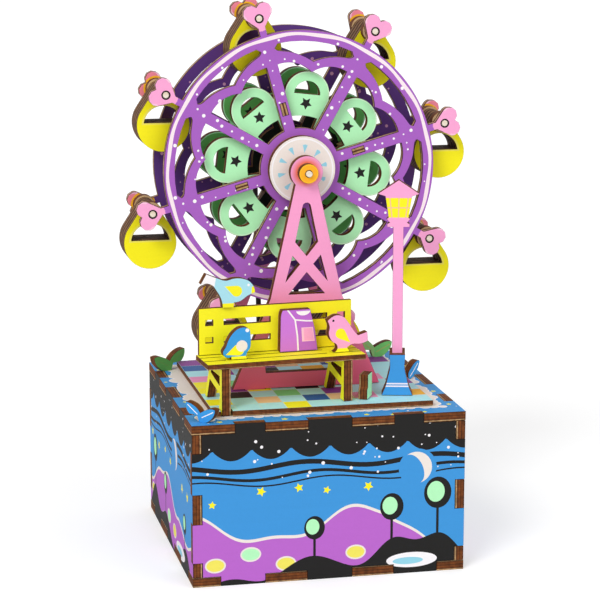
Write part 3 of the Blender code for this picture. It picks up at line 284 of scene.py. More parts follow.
@dataclass(frozen=True)
class BurntEdge(Paint):
    """The laser cut edge of a plywood sheet: charred brown, with paler glue lines and fine streaks."""

    stops: tuple[tuple[float, Colour], ...] = (
        (0.0, (48, 22, 8)), (0.10, (126, 68, 28)), (0.30, (142, 78, 32)), (0.42, (92, 46, 18)),
        (0.52, (150, 84, 36)), (0.72, (124, 64, 26)), (0.82, (98, 50, 20)), (0.88, (232, 190, 136)),
        (0.94, (212, 166, 114)), (1.0, (64, 30, 12)),
    )

    def fill(self, graph: Graph) -> bpy.types.Material:
        """Bands by the depth into the sheet, which the cut map's second axis counts in sheets.

        Args:
            graph: the empty material.
        Returns:
            the finished material.
        """
        cut = graph.add("UVMap", {}, uv_map="cut")
        split = graph.add("SeparateXYZ", {0: cut}, "Y")
        depth = graph.math("FRACT", split)
        shy = graph.math("SUBTRACT", depth, 0.035)
        ragged = graph.math("MULTIPLY_ADD", graph.noise(700.0, 3.0), 0.07, shy)
        bands = graph.ramp(ragged, list(self.stops))
        streak_place = graph.add("Mapping", {"Vector": cut, "Scale": (2.6, 0.35, 1.0)})
        streaks = graph.add("TexNoise", {"Vector": streak_place, "Scale": 1.0, "Detail": 4.0})
        char = graph.add("MapRange", {"Value": graph.noise(520.0, 5.0), "From Min": 0.32, "From Max": 0.66,
                                      "To Min": 0.52, "To Max": 1.14})
        tone = graph.math("MULTIPLY", graph.math("MULTIPLY_ADD", streaks, 0.65, 0.395), char)
        grey = graph.add("CombineColor", {0: tone, 1: tone, 2: tone})
        graph.join(graph.mix(1.0, bands, grey, "MULTIPLY"), graph.shader.inputs["Base Color"])
        graph.shader.inputs["Roughness"].default_value = 0.72
        graph.bump(streaks, 0.00008, 0.7)
        return graph.material


@dataclass(frozen=True)
class BarePly(Paint):
    """The unpainted face of birch plywood, or a dowel of the same wood."""

    dark: Colour = (196, 158, 112)

    def colour_of(self, graph: Graph) -> Socket:
        """Long grain lines between a pale and a darker wood.

        Args:
            graph: the material that takes the nodes.
        Returns:
            the colour.
        """
        lines = graph.noise(1.0, 6.0, (60.0, 520.0, 520.0))
        sharp = graph.add("MapRange", {"Value": lines, "From Min": 0.35, "From Max": 0.68})
        return graph.mix(sharp, linear(self.colour), linear(self.dark))


@dataclass(frozen=True)
class Metal(Paint):
    """A satin metal with fine turning marks."""

    def fill(self, graph: Graph) -> bpy.types.Material:
        """Metallic colour with a brushed roughness.

        Args:
            graph: the empty material.
        Returns:
            the finished material.
        """
        brushed = graph.noise(1.0, 4.0, (250.0, 6000.0, 250.0))
        darker = linear(tuple(c * 0.8 for c in self.colour))
        graph.join(graph.mix(brushed, linear(self.colour), darker), graph.shader.inputs["Base Color"])
        graph.shader.inputs["Metallic"].default_value = 1.0
        rough = graph.math("MULTIPLY_ADD", brushed, 0.2, self.roughness - 0.1)
        graph.join(rough, graph.shader.inputs["Roughness"])
        graph.bump(brushed, 0.00002, 0.4)
        return graph.material


EDGE = BurntEdge("burnt_edge", (110, 55, 20))
TUB_EDGE = BurntEdge("burnt_edge_tub", (130, 88, 54), stops=(
    (0.0, (42, 24, 14)), (0.14, (104, 66, 38)), (0.34, (150, 104, 66)), (0.50, (182, 136, 92)),
    (0.64, (140, 94, 58)), (0.84, (96, 58, 34)), (1.0, (40, 22, 12)),
))
STRIP_EDGE = BurntEdge("burnt_edge_strip", (200, 160, 110), stops=(
    (0.0, (226, 184, 130)), (0.30, (214, 166, 112)), (0.40, (96, 50, 26)), (0.60, (84, 42, 22)),
    (0.70, (206, 158, 106)), (1.0, (228, 188, 136)),
))
PALE_EDGE = BurntEdge("burnt_edge_pale", (150, 100, 60), stops=(
    (0.0, (52, 26, 26)), (0.16, (96, 52, 44)), (0.30, (150, 92, 66)), (0.38, (236, 188, 152)),
    (0.60, (246, 204, 168)), (0.70, (176, 116, 84)), (0.84, (88, 46, 40)), (1.0, (48, 24, 26)),
))
BARE = BarePly("bare_ply_face", (222, 190, 145), mottle=0.04)
DOWEL = BarePly("dowel_wood", (244, 236, 222), dark=(222, 204, 176), mottle=0.03)
WHITE = Paint("print_white", (250, 246, 248))
CREAM = Paint("print_cream", (240, 230, 222))
PURPLE = Paint("paint_purple", (168, 97, 193))
# A darker purple: the plate's purple darkened as painted shade, for the rear plate's front face and the back
# faces
SHADED_DEEP_PURPLE = Paint("paint_shaded_deep_purple", (96, 56, 134))
# The wheel's white dots darkened to pink as painted shade, for the rear plate
SHADED_DOT_PINK = Paint("print_shaded_dot_pink", (206, 150, 186))
PINK = Paint("paint_pink", (250, 168, 212))
CORAL = Paint("paint_coral", (248, 140, 160))
AMBER = Paint("paint_amber", (255, 190, 40))
MINT = Paint("paint_mint", (182, 248, 191))
MINT_LINE = Paint("paint_mint_line", (212, 253, 210))
GREEN = Paint("paint_green", (104, 188, 98))
BLACK = Paint("print_black", (27, 26, 25))
SKY = Paint("print_sky", (62, 150, 218))
NAVY = Paint("print_navy", (44, 92, 160))
PALE_SKY = Paint("print_pale_sky", (150, 214, 232))
YELLOW = Paint("paint_yellow", (252, 242, 34))
GONDOLA_YELLOW = Paint("paint_gondola_yellow", (252, 240, 22))
LEMON = Paint("print_lemon", (244, 232, 96))
PEACH = Paint("print_peach", (242, 196, 148))
TEAL = Paint("print_teal", (180, 235, 244))
PLUM = Paint("print_plum", (140, 62, 150))
LILAC = Paint("print_lilac", (187, 103, 203))
LEAF = Paint("paint_leaf", (96, 170, 88))
LEAF_LINE = Paint("print_fine_leaf_line", (110, 158, 86))
PALE_LEAF = Paint("paint_pale_leaf", (156, 212, 130))
BRIGHT_LEAF = Paint("paint_bright_leaf", (126, 216, 118))
ORCHID = Paint("paint_orchid", (206, 122, 226))
BIRD_BLUE = Paint("paint_bird_blue", (58, 156, 226))
BIRD_SKY = Paint("paint_bird_sky", (170, 224, 238))
BRASS = Metal("brass", (214, 178, 104), 0.34)
STEEL = Metal("steel", (186, 188, 192), 0.32)
RUBBER = Paint("rubber", (20, 20, 20), 0.62, 0.2)
STRIPE = Paint("print_stripe", (250, 232, 238))
HEART_LINE = Paint("print_heart_line", (255, 200, 222))
PANE_BAR = Paint("print_pane_bar", (246, 196, 150))
ORANGE_RING = Paint("paint_orange_ring", (252, 176, 36))
ORANGE_TILE = Paint("tile_orange", (240, 176, 40))
BLUE_TILE = Paint("tile_blue", (70, 130, 190))
MINT_TILE = Paint("tile_mint", (130, 214, 140))
PINK_TILE = Paint("tile_pink", (240, 150, 196))
JOINT = Paint("tile_joint", (206, 230, 226))
PLUM_SOFT = Paint("print_soft_plum", (192, 108, 212))
BROWN_LINE = Paint("print_leaf_line", (190, 190, 110))
CHAR = Paint("burnt_rim", (104, 58, 30), 0.72, 0.3, 0.4)
# The supports: pink with painted shade towards the bottom and a painted orange glow round the axle
FRAME_PINK = PaintedShadeAndGlow("paint_frame_pink", (250, 162, 207))


# Shapes as whole arrays

def turned(points: Array, angle: float, centre: Point = (0.0, 0.0)) -> Array:
    """Points turned about the origin by an angle and moved to a centre."""
    c, s = math.cos(angle), math.sin(angle)
    return np.asarray(points, float) @ np.array([[c, s], [-s, c]]) + centre


def disc(centre: Point, radius: float, count: int = 14) -> Array:
    """A circle: the centre plus the radius times (cos, sin) of evenly spaced angles."""
    a = np.arange(count) * TAU / count
    return np.stack([np.cos(a), np.sin(a)], 1) * radius + centre


def oval(centre: Point, half_w: float, half_h: float, turn: float = 0.0, count: int = 28) -> Array:
    """An ellipse: a unit circle stretched to its half width and half height, then turned."""
    return turned(disc((0.0, 0.0), 1.0, count) * (half_w, half_h), turn, centre)


def star(centre: Point, radius: float, points: int = 5, inner: float = 0.5, turn: float = 0.0) -> Array:
    """A star: the radius swings between outer and inner at evenly spaced angles.

    Args:
        centre: its middle.
        radius: from the middle to a tip.
        points: how many tips.
        inner: the inner corners' share of the radius.
        turn: the angle of the first tip.
    Returns:
        the loop.
    """
    a = np.arange(2 * points) * math.pi / points + turn
    r = np.where(np.arange(2 * points) % 2 == 0, radius, radius * inner)
    return np.stack([r * np.cos(a), r * np.sin(a)], 1) + centre


def crescent(centre: Point, radius: float, thick: float, turn: float = 0.0) -> Array:
    """A crescent: an arc of a circle out, and a flatter half ellipse back with the same horns.

    Args:
        centre: the middle of the circle.
        radius: the circle's radius.
        thick: how much of the circle's bulge the crescent fills.
        turn: the angle of its back.
    Returns:
        the loop.
    """
    horn = 1.75
    a, t = np.linspace(-horn, horn, 30), np.linspace(math.pi / 2, -math.pi / 2, 24)[1:-1]
    bulge = (1 - thick) * (1 - math.cos(horn))
    back = np.stack([math.cos(horn) + bulge * np.cos(t), math.sin(horn) * np.sin(t)], 1)
    return turned(np.concatenate([polar(1.0, a), back]) * radius, turn, centre)


def drop(tip: Point, head: Point, radius: float) -> Array:
    """A teardrop: an arc of two radians either side of its back, closed by its tip.

    Args:
        tip: the sharp end.
        head: the middle of the round end.
        radius: the round end's radius.
    Returns:
        the loop.
    """
    away = math.atan2(head[1] - tip[1], head[0] - tip[0])
    a = np.linspace(-2.0, 2.0, 18) + away
    return np.concatenate([np.stack([np.cos(a), np.sin(a)], 1) * radius + head, [tip]])


def ribbon(path: Array, width: float | Array) -> Array:
    """A strip along a path: each point moved half the width to either side of the path's direction.

    Args:
        path: points in order.
        width: one width, or one for each point.
    Returns:
        the loop.
    """
    path = np.asarray(path, float)
    way = np.gradient(path, axis=0)
    side = np.stack([-way[:, 1], way[:, 0]], 1) / np.linalg.norm(way, axis=1, keepdims=True)
    half = side * np.reshape(np.broadcast_to(np.asarray(width) / 2, len(path)), (-1, 1))
    return np.concatenate([path + half, (path - half)[::-1]])


def rectangle(x0: float, x1: float, y0: float, y1: float) -> Array:
    """The four corners of an upright rectangle."""
    return np.array([(x0, y0), (x1, y0), (x1, y1), (x0, y1)])


def area_of(loop: Array) -> float:
    """The area of a loop by the sum of cross products, negative when it runs clockwise."""
    after = np.roll(loop, -1, 0)
    return 0.5 * float(np.sum(loop[:, 0] * after[:, 1] - loop[:, 1] * after[:, 0]))


def polar(radius: float | Array, angle: float | Array) -> Array:
    """Points at radii and angles about the origin."""
    return np.stack(np.broadcast_arrays(radius * np.cos(angle), radius * np.sin(angle)), -1)


def ranked(follow: Array) -> tuple[Array, Array]:
    """Sort closed chains without walking them, by doubling the length of each hop.

    Args:
        follow: for each point, the index of the next point of its chain.
    Returns:
        the point order, chain after chain, and the start of each chain in that order.
    """
    count = len(follow)
    rounds = range(int(math.ceil(math.log2(count))) + 1)
    root, hop = np.arange(count), follow.copy()
    for _ in rounds:
        root = np.minimum(root, root[hop])
        hop = hop[hop]
    last = follow == root
    left = np.where(last, 0, 1)
    hop = np.where(last, np.arange(count), follow)
    for _ in rounds:
        left = left + left[hop]
        hop = hop[hop]
    order = np.lexsort((-left, root))
    starts = np.flatnonzero(np.r_[True, np.diff(root[order]) != 0])
    return order, starts


def border(triangles: Array) -> Array:
    """The directed edges of triangles that no other triangle shares, with the inside on their left.

    Args:
        triangles: rows of three point numbers.
    Returns:
        rows of a start and an end.
    """
    edges = np.concatenate([triangles[:, [0, 1]], triangles[:, [1, 2]], triangles[:, [2, 0]]])
    size = int(triangles.max()) + 1
    codes = edges[:, 0] * size + edges[:, 1]
    return edges[~np.isin(codes, edges[:, 1] * size + edges[:, 0])]


def chained(edges: Array) -> tuple[Array, Array, Array]:
    """Number the points of directed edges afresh, and find the point that follows each.

    Args:
        edges: rows of a start and an end.
    Returns:
        each point's old number, the edges in new numbers, and the next point of each point.
    """
    used, local = np.unique(edges.ravel(), return_inverse=True)
    local = local.reshape(-1, 2)
    follow = np.empty(len(used), int)
    follow[local[:, 0]] = local[:, 1]
    return used, local, follow


def smooth_loop(loop: Array, limit_deg: float, steps: int, long_edge: float) -> Array:
    """Round a faceted outline with cubic arcs, and keep its real corners.

    Each edge becomes a cubic through its two ends. At a soft corner the direction is the mean of the
    two edges, each weighted by the other's length, or that of a much longer edge alone. At a sharp
    corner it is the mirror image, about the edge, of the direction at the other end.

    Args:
        loop: the corners in order.
        limit_deg: turns sharper than this stay corners.
        steps: new points for each edge.
        long_edge: a corner between two edges longer than this stays a corner.
    Returns:
        the finer loop.
    """
    centre = loop.mean(0)
    reach = np.linalg.norm(loop - centre, axis=1)
    if len(loop) >= 8 and np.ptp(reach) < ROUND_SHARE * reach.mean():
        return disc(tuple(centre), float(reach.mean()), ROUND_STEPS * steps)
    after = np.roll(loop, -1, 0) - loop
    length = np.linalg.norm(after, axis=1)
    way = after / length[:, None]
    before, before_l = np.roll(way, 1, 0), np.roll(length, 1)
    turn = np.degrees(np.arccos(np.clip((before * way).sum(1), -1, 1)))
    mean = before * length[:, None] + way * before_l[:, None]
    mean = np.where((before_l > MUCH_LONGER * length)[:, None], before, mean)
    mean = np.where((length > MUCH_LONGER * before_l)[:, None], way, mean)
    mean = mean / np.linalg.norm(mean, axis=1, keepdims=True)
    soft = (turn < limit_deg) & (np.minimum(before_l, length) < long_edge)
    start, end = mean, np.roll(mean, -1, 0)
    soft_a, soft_b = soft[:, None], np.roll(soft, -1)[:, None]

    def mirror(v: Array) -> Array:
        """A direction mirrored about its edge."""
        return 2 * (v * way).sum(1, keepdims=True) * way - v

    a = np.where(soft_a, start, np.where(soft_b, mirror(end), way)) * length[:, None]
    b = np.where(soft_b, end, np.where(soft_a, mirror(start), way)) * length[:, None]
    t = (np.arange(steps) / steps)[None, :, None]
    p, q, a, b = (v[:, None, :] for v in (loop, np.roll(loop, -1, 0), a, b))
    curve = ((2 * t**3 - 3 * t**2 + 1) * p + (t**3 - 2 * t**2 + t) * a
             + (3 * t**2 - 2 * t**3) * q + (t**3 - t**2) * b)
    return curve.reshape(-1, 2)


# Pieces

class Side(Enum):
    """Which way the printed face of a sheet looks."""

    FRONT = (0.0, -1.0, 0.0)
    BACK = (0.0, 1.0, 0.0)
    LEFT = (-1.0, 0.0, 0.0)
    RIGHT = (1.0, 0.0, 0.0)
    UP = (0.0, 0.0, 1.0)


Print = tuple[Array, Paint]


def linked(name: str, data: bpy.types.ID) -> bpy.types.Object:
    """Make an object and put it in the scene.

    Args:
        name: its name.
        data: its mesh, camera or lamp.
    Returns:
        the object.
    """
    obj = bpy.data.objects.new(name, data)
    bpy.context.scene.collection.objects.link(obj)
    return obj


def own(obj: bpy.types.Object, node: str) -> bpy.types.Object:
    """Let a new piece stand for a CAD node: same body, in its place, with the node hidden.

    Args:
        obj: the new piece.
        node: the CAD node's name.
    Returns:
        the new piece.
    """
    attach(obj, BODY_OF[node])
    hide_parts(node)
    return obj


def make_object(name: str, points: Array, faces: list[Array], paints: list[Paint], indices: Array,
                cut: Array | None = None, sharp_deg: float = 32.0) -> bpy.types.Object:
    """Put arrays into a mesh and link its object.

    Args:
        name: the object's name.
        points: one row of x, y and z for each vertex.
        faces: arrays of vertex rows, one array for each corner count.
        paints: the finish of each material slot.
        indices: the material slot of each face.
        cut: the map for burnt edges, as one row for each vertex.
        sharp_deg: edges sharper than this stay crisp.
    Returns:
        the object, at the origin.
    """
    mesh = bpy.data.meshes.new(name)
    counts = np.concatenate([np.full(len(f), f.shape[1]) for f in faces])
    corners = np.concatenate([f.ravel() for f in faces])
    mesh.vertices.add(len(points))
    mesh.vertices.foreach_set("co", np.ascontiguousarray(points, np.float32).ravel())
    mesh.loops.add(len(corners))
    mesh.loops.foreach_set("vertex_index", corners.astype(np.int32))
    mesh.polygons.add(len(counts))
    mesh.polygons.foreach_set("loop_start", np.r_[0, np.cumsum(counts)[:-1]].astype(np.int32))
    for paint in paints:
        mesh.materials.append(paint.material())
    mesh.polygons.foreach_set("material_index", indices.astype(np.int32))
    layer = mesh.uv_layers.new(name="cut")
    if cut is not None:
        layer.data.foreach_set("uv", cut[corners].astype(np.float32).ravel())
    mesh.update(calc_edges=True)
    mesh.shade_smooth()
    mesh.set_sharp_from_angle(angle=math.radians(sharp_deg))
    return linked(name, mesh)


@dataclass
class Sheet:
    """One laser cut piece, made from its CAD node's outline."""

    node: str
    side: Side
    paint: Paint
    prints: list[Print] = field(default_factory=list)
    back: Paint | None = None
    back_prints: list[Print] = field(default_factory=list)
    edge: Paint = EDGE
    layers: int = 1
    limit_deg: float = 34.0
    steps: int = 4
    long_edge: float = 5.0 * MM
    chamfer: float = 0.06 * MM
    groove: float = 0.16 * MM
    origin: Place = (0.0, 0.0, 0.0)

    def read(self) -> tuple[Array, float, float, list[Array]]:
        """Find the plate's own axes, its two faces and the loops of its front face.

        Returns:
            rows of the across, up and outward axes, the front and back distance along the outward
            axis, and the loops on the across and up axes.
        """
        mesh = frame["nodes"][self.node].data
        points = np.empty(len(mesh.vertices) * 3, np.float32)
        mesh.vertices.foreach_get("co", points)
        mesh.calc_loop_triangles()
        corners = np.empty(len(mesh.loop_triangles) * 3, np.int32)
        mesh.loop_triangles.foreach_get("vertices", corners)
        points = points.reshape(-1, 3).astype(float)
        _, first, inverse = np.unique(np.round(points, WELD_DIGITS), axis=0, return_index=True,
                                      return_inverse=True)
        points, corners = points[first], inverse.ravel()[corners].reshape(-1, 3)
        a, b, c = (points[corners[:, i]] for i in range(3))
        normal = np.cross(b - a, c - a)
        area = np.linalg.norm(normal, axis=1)
        good = area > 0
        normal, area, corners = normal[good] / area[good, None], area[good], corners[good]
        score = np.where(normal @ np.array(self.side.value) > AXIS_SHARE, area, 0.0)
        out = normal[int(np.argmax(score))]
        up = np.array((0.0, 1.0, 0.0)) if self.side is Side.UP else np.array((0.0, 0.0, 1.0))
        across = np.cross(up, out)
        across /= np.linalg.norm(across)
        up = np.cross(out, across)
        axes = np.stack([across, up, out])
        flat = points @ axes.T
        front, back = flat[:, 2].max(), flat[:, 2].min()
        cap = corners[(normal @ out > FLAT_SHARE) & (np.abs(flat[corners[:, 0], 2] - front) < FLAT_LIMIT)]
        used, _, follow = chained(border(cap))
        order, starts = ranked(follow)
        loops = np.split(flat[used[order], :2], starts[1:])
        return axes, float(front), float(back), loops

    def rows(self, depth: float) -> Array:
        """The section of the cut edge, with a chamfer at each face and a groove at each glue line.

        Args:
            depth: the thickness of the piece.
        Returns:
            (outset, depth) pairs from the front face to the back.
        """
        c, g = self.chamfer, self.groove
        pairs = [(c, c)]
        for k in range(1, self.layers):
            seam = depth * k / self.layers
            pairs += [(c, seam - g), (-g, seam), (c, seam + g)]
        return np.array([(0.0, 0.0)] + pairs + [(c, depth - c), (0.0, depth)])

    def cap(self, loops: list[Array], holes: Array,
            shift: Array) -> tuple[Array, Array, Array, Array, list[Paint]]:
        """Cut the outline and all printed areas into triangles.

        Args:
            loops: the outline and its holes, in metres.
            holes: which of the loops are holes.
            shift: where the prints' own origin lies, in metres.
        Returns:
            the flat points, the triangles, the finish numbers of the front and of the back, and the
            list of finishes.
        """
        prints = [np.asarray(p) + shift / MM for p, _ in self.prints + self.back_prints]
        shapes = [loop / MM for loop in loops] + prints
        shapes = [s if area_of(s) > 0 else s[::-1] for s in shapes]
        paints = [self.paint, self.back or BARE] + [paint for _, paint in self.prints + self.back_prints]
        starts = np.cumsum([0] + [len(s) for s in shapes])
        faces = [list(range(a, b)) for a, b in zip(starts[:-1], starts[1:])]
        out = delaunay_2d_cdt([tuple(p) for p in np.concatenate(shapes)], [], faces, CUT_KIND, CUT_MERGE)
        points, triangles = np.array([tuple(p) for p in out[0]]) * MM, np.array(out[2])
        owners = out[5]
        counts = np.fromiter(map(len, owners), int, len(owners))
        flat = np.fromiter((i for group in owners for i in group), int, int(counts.sum()))
        which = np.repeat(np.arange(len(owners)), counts)
        n, m = len(loops), len(self.prints)
        inside = np.zeros(len(owners), int)
        weight = np.where(holes[np.minimum(flat, n - 1)], HOLE_WEIGHT, 1)
        np.add.at(inside, which, np.where(flat < n, weight, 0))
        front, back = np.zeros(len(owners), int), np.ones(len(owners), int)
        for finish, chosen in ((front, (flat >= n) & (flat < n + m)), (back, flat >= n + m)):
            np.maximum.at(finish, which[chosen], flat[chosen] - n + 2)
        kept = inside > 0
        triangles, front, back = triangles[kept], front[kept], back[kept]
        a, b, c = (points[triangles[:, i]] for i in range(3))
        flip = np.cross(b - a, c - a) < 0
        triangles[flip] = triangles[flip][:, ::-1]
        used, local = np.unique(triangles.ravel(), return_inverse=True)
        return points[used], local.reshape(-1, 3), front, back, paints

    def build(self) -> bpy.types.Object:
        """Make the piece: two cut faces, and the edge's section carried round every border.

        A point of the edge is its border point, plus the section's outset along the mean of its two
        edges' normals, minus the section's depth along the outward axis.

        Returns:
            the object.
        """
        axes, front_z, back_z, loops = self.read()
        holes = np.array([area_of(loop) < 0 for loop in loops])
        loops = [smooth_loop(loop, self.limit_deg, self.steps, self.long_edge) for loop in loops]
        shift = (axes @ np.array(self.origin))[:2] * MM
        flat, triangles, front, back, paints = self.cap(loops, holes, shift)
        depth = front_z - back_z
        ring, local, follow = chained(border(triangles))
        place = flat[ring]
        step = place[follow] - place
        length = np.linalg.norm(step, axis=1)
        normal = np.stack([step[:, 1], -step[:, 0]], 1) / length[:, None]
        behind = np.empty_like(normal)
        behind[follow] = normal
        mean = normal + behind
        mean = mean / np.maximum((mean * normal).sum(1), MITRE_LIMIT)[:, None]
        order, _ = ranked(follow)
        along = np.empty(len(ring))
        along[order] = np.cumsum(np.r_[0.0, length[order][:-1]])
        section = self.rows(depth)
        count, width = len(section), len(ring)
        grid_xy = place[None] + mean[None] * section[:, :1, None]
        grid_z = np.repeat(front_z - section[:, 1], width)
        wall = np.column_stack([grid_xy.reshape(-1, 2), grid_z])
        caps = [np.column_stack([flat, np.full(len(flat), z)]) for z in (front_z, back_z)]
        points = np.concatenate([caps[0], caps[1], wall]) @ axes
        base = 2 * len(flat)
        rows = (np.arange(count - 1) * width + base)[:, None]
        i, j = local[:, 0][None], local[:, 1][None]
        quads = np.stack([rows + i, rows + width + i, rows + width + j, rows + j], -1).reshape(-1, 4)
        # The first and last rows of the section are the borders of the two faces themselves
        quads = np.where(quads < base + width, ring[(quads - base) % width], quads)
        final = base + (count - 1) * width
        quads = np.where(quads >= final, ring[(quads - final) % width] + len(flat), quads)
        cut = np.zeros((len(points), 2))
        cut[base:, 0] = np.tile(along / MM, count)
        cut[base:, 1] = np.repeat(section[:, 1] / depth * self.layers * MAP_SHARE + MAP_START, width)
        cut[ring, 0] = cut[ring + len(flat), 0] = along / MM
        cut[ring + len(flat), 1] = self.layers * (MAP_SHARE + MAP_START)
        faces = [triangles, triangles[:, ::-1] + len(flat), quads]
        index = np.concatenate([front, back, np.full(len(quads), len(paints))])
        used, index = np.unique(index, return_inverse=True)
        slots = [(paints + [self.edge])[k] for k in used]
        names = [paint.name for paint in slots]
        first = [names.index(name) for name in names]
        index = np.array(first)[index]
        keep = sorted(set(first))
        remap = np.zeros(len(slots), int)
        remap[keep] = np.arange(len(keep))
        spare = np.ones(len(points), bool)
        spare[base:base + width] = spare[final:] = False
        renumber = np.cumsum(spare) - 1
        faces = [renumber[f] for f in faces]
        obj = make_object(self.node + "_finished", points[spare], faces, [slots[k] for k in keep],
                          remap[index], cut[spare])
        return own(obj, self.node)


def lattice(rows: int, columns: int, closed: bool) -> Array:
    """The faces of a grid of points in which every row is a ring.

    Args:
        rows: how many rows.
        columns: how many points in a row.
        closed: whether the last row is joined to the first.
    Returns:
        four point numbers for each face: a point, the one in the next row, that one's neighbour and
        the point's own neighbour.
    """
    i, k = np.arange(rows if closed else rows - 1)[:, None] * columns, np.arange(columns)
    after, beside = (i + columns) % (rows * columns), (k + 1) % columns
    return np.stack([i + k, after + k, after + beside, i + beside], -1).reshape(-1, 4)


def turned_piece(node: str, profile: list[tuple[float, float, Paint]], steps: int = 48,
                 ring: bool = False) -> bpy.types.Object:
    """Turn a profile about the Y line through the middle of a node's box.

    A point is the axis, plus the profile's radius times (cos, sin) of the turn in X and Z, at the
    profile's Y. An open profile is closed by one point on the axis at each end.

    Args:
        node: the CAD node that the piece stands for.
        profile: (radius, Y in millimetres, finish up to the next row) from front to back, and back
            along the bore for a ring.
        steps: how many facets round.
        ring: whether the profile closes on itself.
    Returns:
        the object.
    """
    low, high = (np.array(corner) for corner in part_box(node))
    axis = (low + high) / 2
    paints = list(dict.fromkeys(row[2] for row in profile))
    which = np.array([paints.index(row[2]) for row in profile])
    sizes = np.array([row[:2] for row in profile]) * MM
    a = np.arange(steps) * TAU / steps
    r, y = (sizes[:, None, k] * np.ones(steps) for k in (0, 1))
    points = np.stack([axis[0] + r * np.cos(a), y, axis[2] + r * np.sin(a)], -1).reshape(-1, 3)
    quads = lattice(len(sizes), steps, ring)
    faces, index = [quads], np.repeat(which, steps)[:len(quads)]
    if not ring:
        k = np.arange(steps)
        beside = (k + 1) % steps
        start, end, last = len(points), len(points) + 1, len(points) - steps
        tips = np.array([(axis[0], sizes[0, 1], axis[2]), (axis[0], sizes[-1, 1], axis[2])])
        points = np.concatenate([points, tips])
        caps = [np.stack([np.full(steps, start), k, beside], -1),
                np.stack([np.full(steps, end), last + beside, last + k], -1)]
        faces = [np.concatenate(caps)] + faces
        index = np.concatenate([np.repeat(which[[0, -1]], steps), index])
    return own(make_object(node + "_finished", points, faces, paints, index), node)


def dress(node: str, paint: Paint) -> bpy.types.Object:
    """Give a CAD node that stays its finish, on the object's own slots.

    Args:
        node: the CAD node's name.
        paint: its finish.
    Returns:
        the CAD node's object.
    """
    obj = frame["nodes"][node]
    if not obj.material_slots:
        raise ValueError(node + " has no material slot")
    for slot in obj.material_slots:
        slot.link = "OBJECT"
        slot.material = paint.material()
    return obj


# Print motifs, in millimetres

def scatter(seed: int, count: int, box: tuple[float, float, float, float], sizes: tuple[float, float],
            paint: Paint = WHITE) -> list[Print]:
    """Small dots at seeded places in a box, most of them near the smaller size.

    Args:
        seed: the seed of the places and sizes.
        count: how many dots.
        box: left, right, low and high.
        sizes: the least and the greatest radius.
        paint: their finish.
    Returns:
        the printed dots.
    """
    draw = np.random.default_rng(seed)
    places = draw.uniform(box[::2], box[1::2], (count, 2))
    radii = sizes[0] + (sizes[1] - sizes[0]) * draw.random(count) ** 2
    return [(disc(tuple(p), float(r), 9), paint) for p, r in zip(places, radii)]


def heart(centre: Array, width: float, height: float, turn: float) -> Array:
    """A heart: sine cubed across, and the usual sum of four cosines up, scaled and turned.

    Args:
        centre: where its middle goes.
        width: its width.
        height: its height.
        turn: the angle by which it leans to the left.
    Returns:
        the loop.
    """
    t = np.linspace(0, TAU, 40, endpoint=False)
    x = np.sin(t) ** 3 * width / 2
    y = (13 * np.cos(t) - 5 * np.cos(2 * t) - 2 * np.cos(3 * t) - np.cos(4 * t) + 2.5) / 29 * height
    return turned(np.stack([x, y], 1), turn, tuple(centre))


def under(curve: Array, floor: float) -> Array:
    """The area between a curve and a floor line."""
    ends = np.array([(curve[-1, 0], floor), (curve[0, 0], floor)])
    return np.concatenate([curve, ends])


NIGHT_TREES = (
    ((-6.0, 18.0, 4.0), (24.0, 24.0, 4.6), (42.0, 28.0, 5.4)),
    ((-38.0, 27.0, 5.0), (-12.0, 20.0, 4.0), (34.0, 17.0, 3.6)),
    ((-30.0, 23.0, 4.4), (-2.0, 29.0, 5.2), (38.0, 21.0, 4.2)),
    ((-44.0, 20.0, 4.0), (10.0, 22.0, 4.6), (28.0, 29.0, 5.0)),
)
NIGHT_MOONS = ((34.0, 41.5), (12.0, 40.5), (-18.0, 41.0), (-24.0, 41.5))


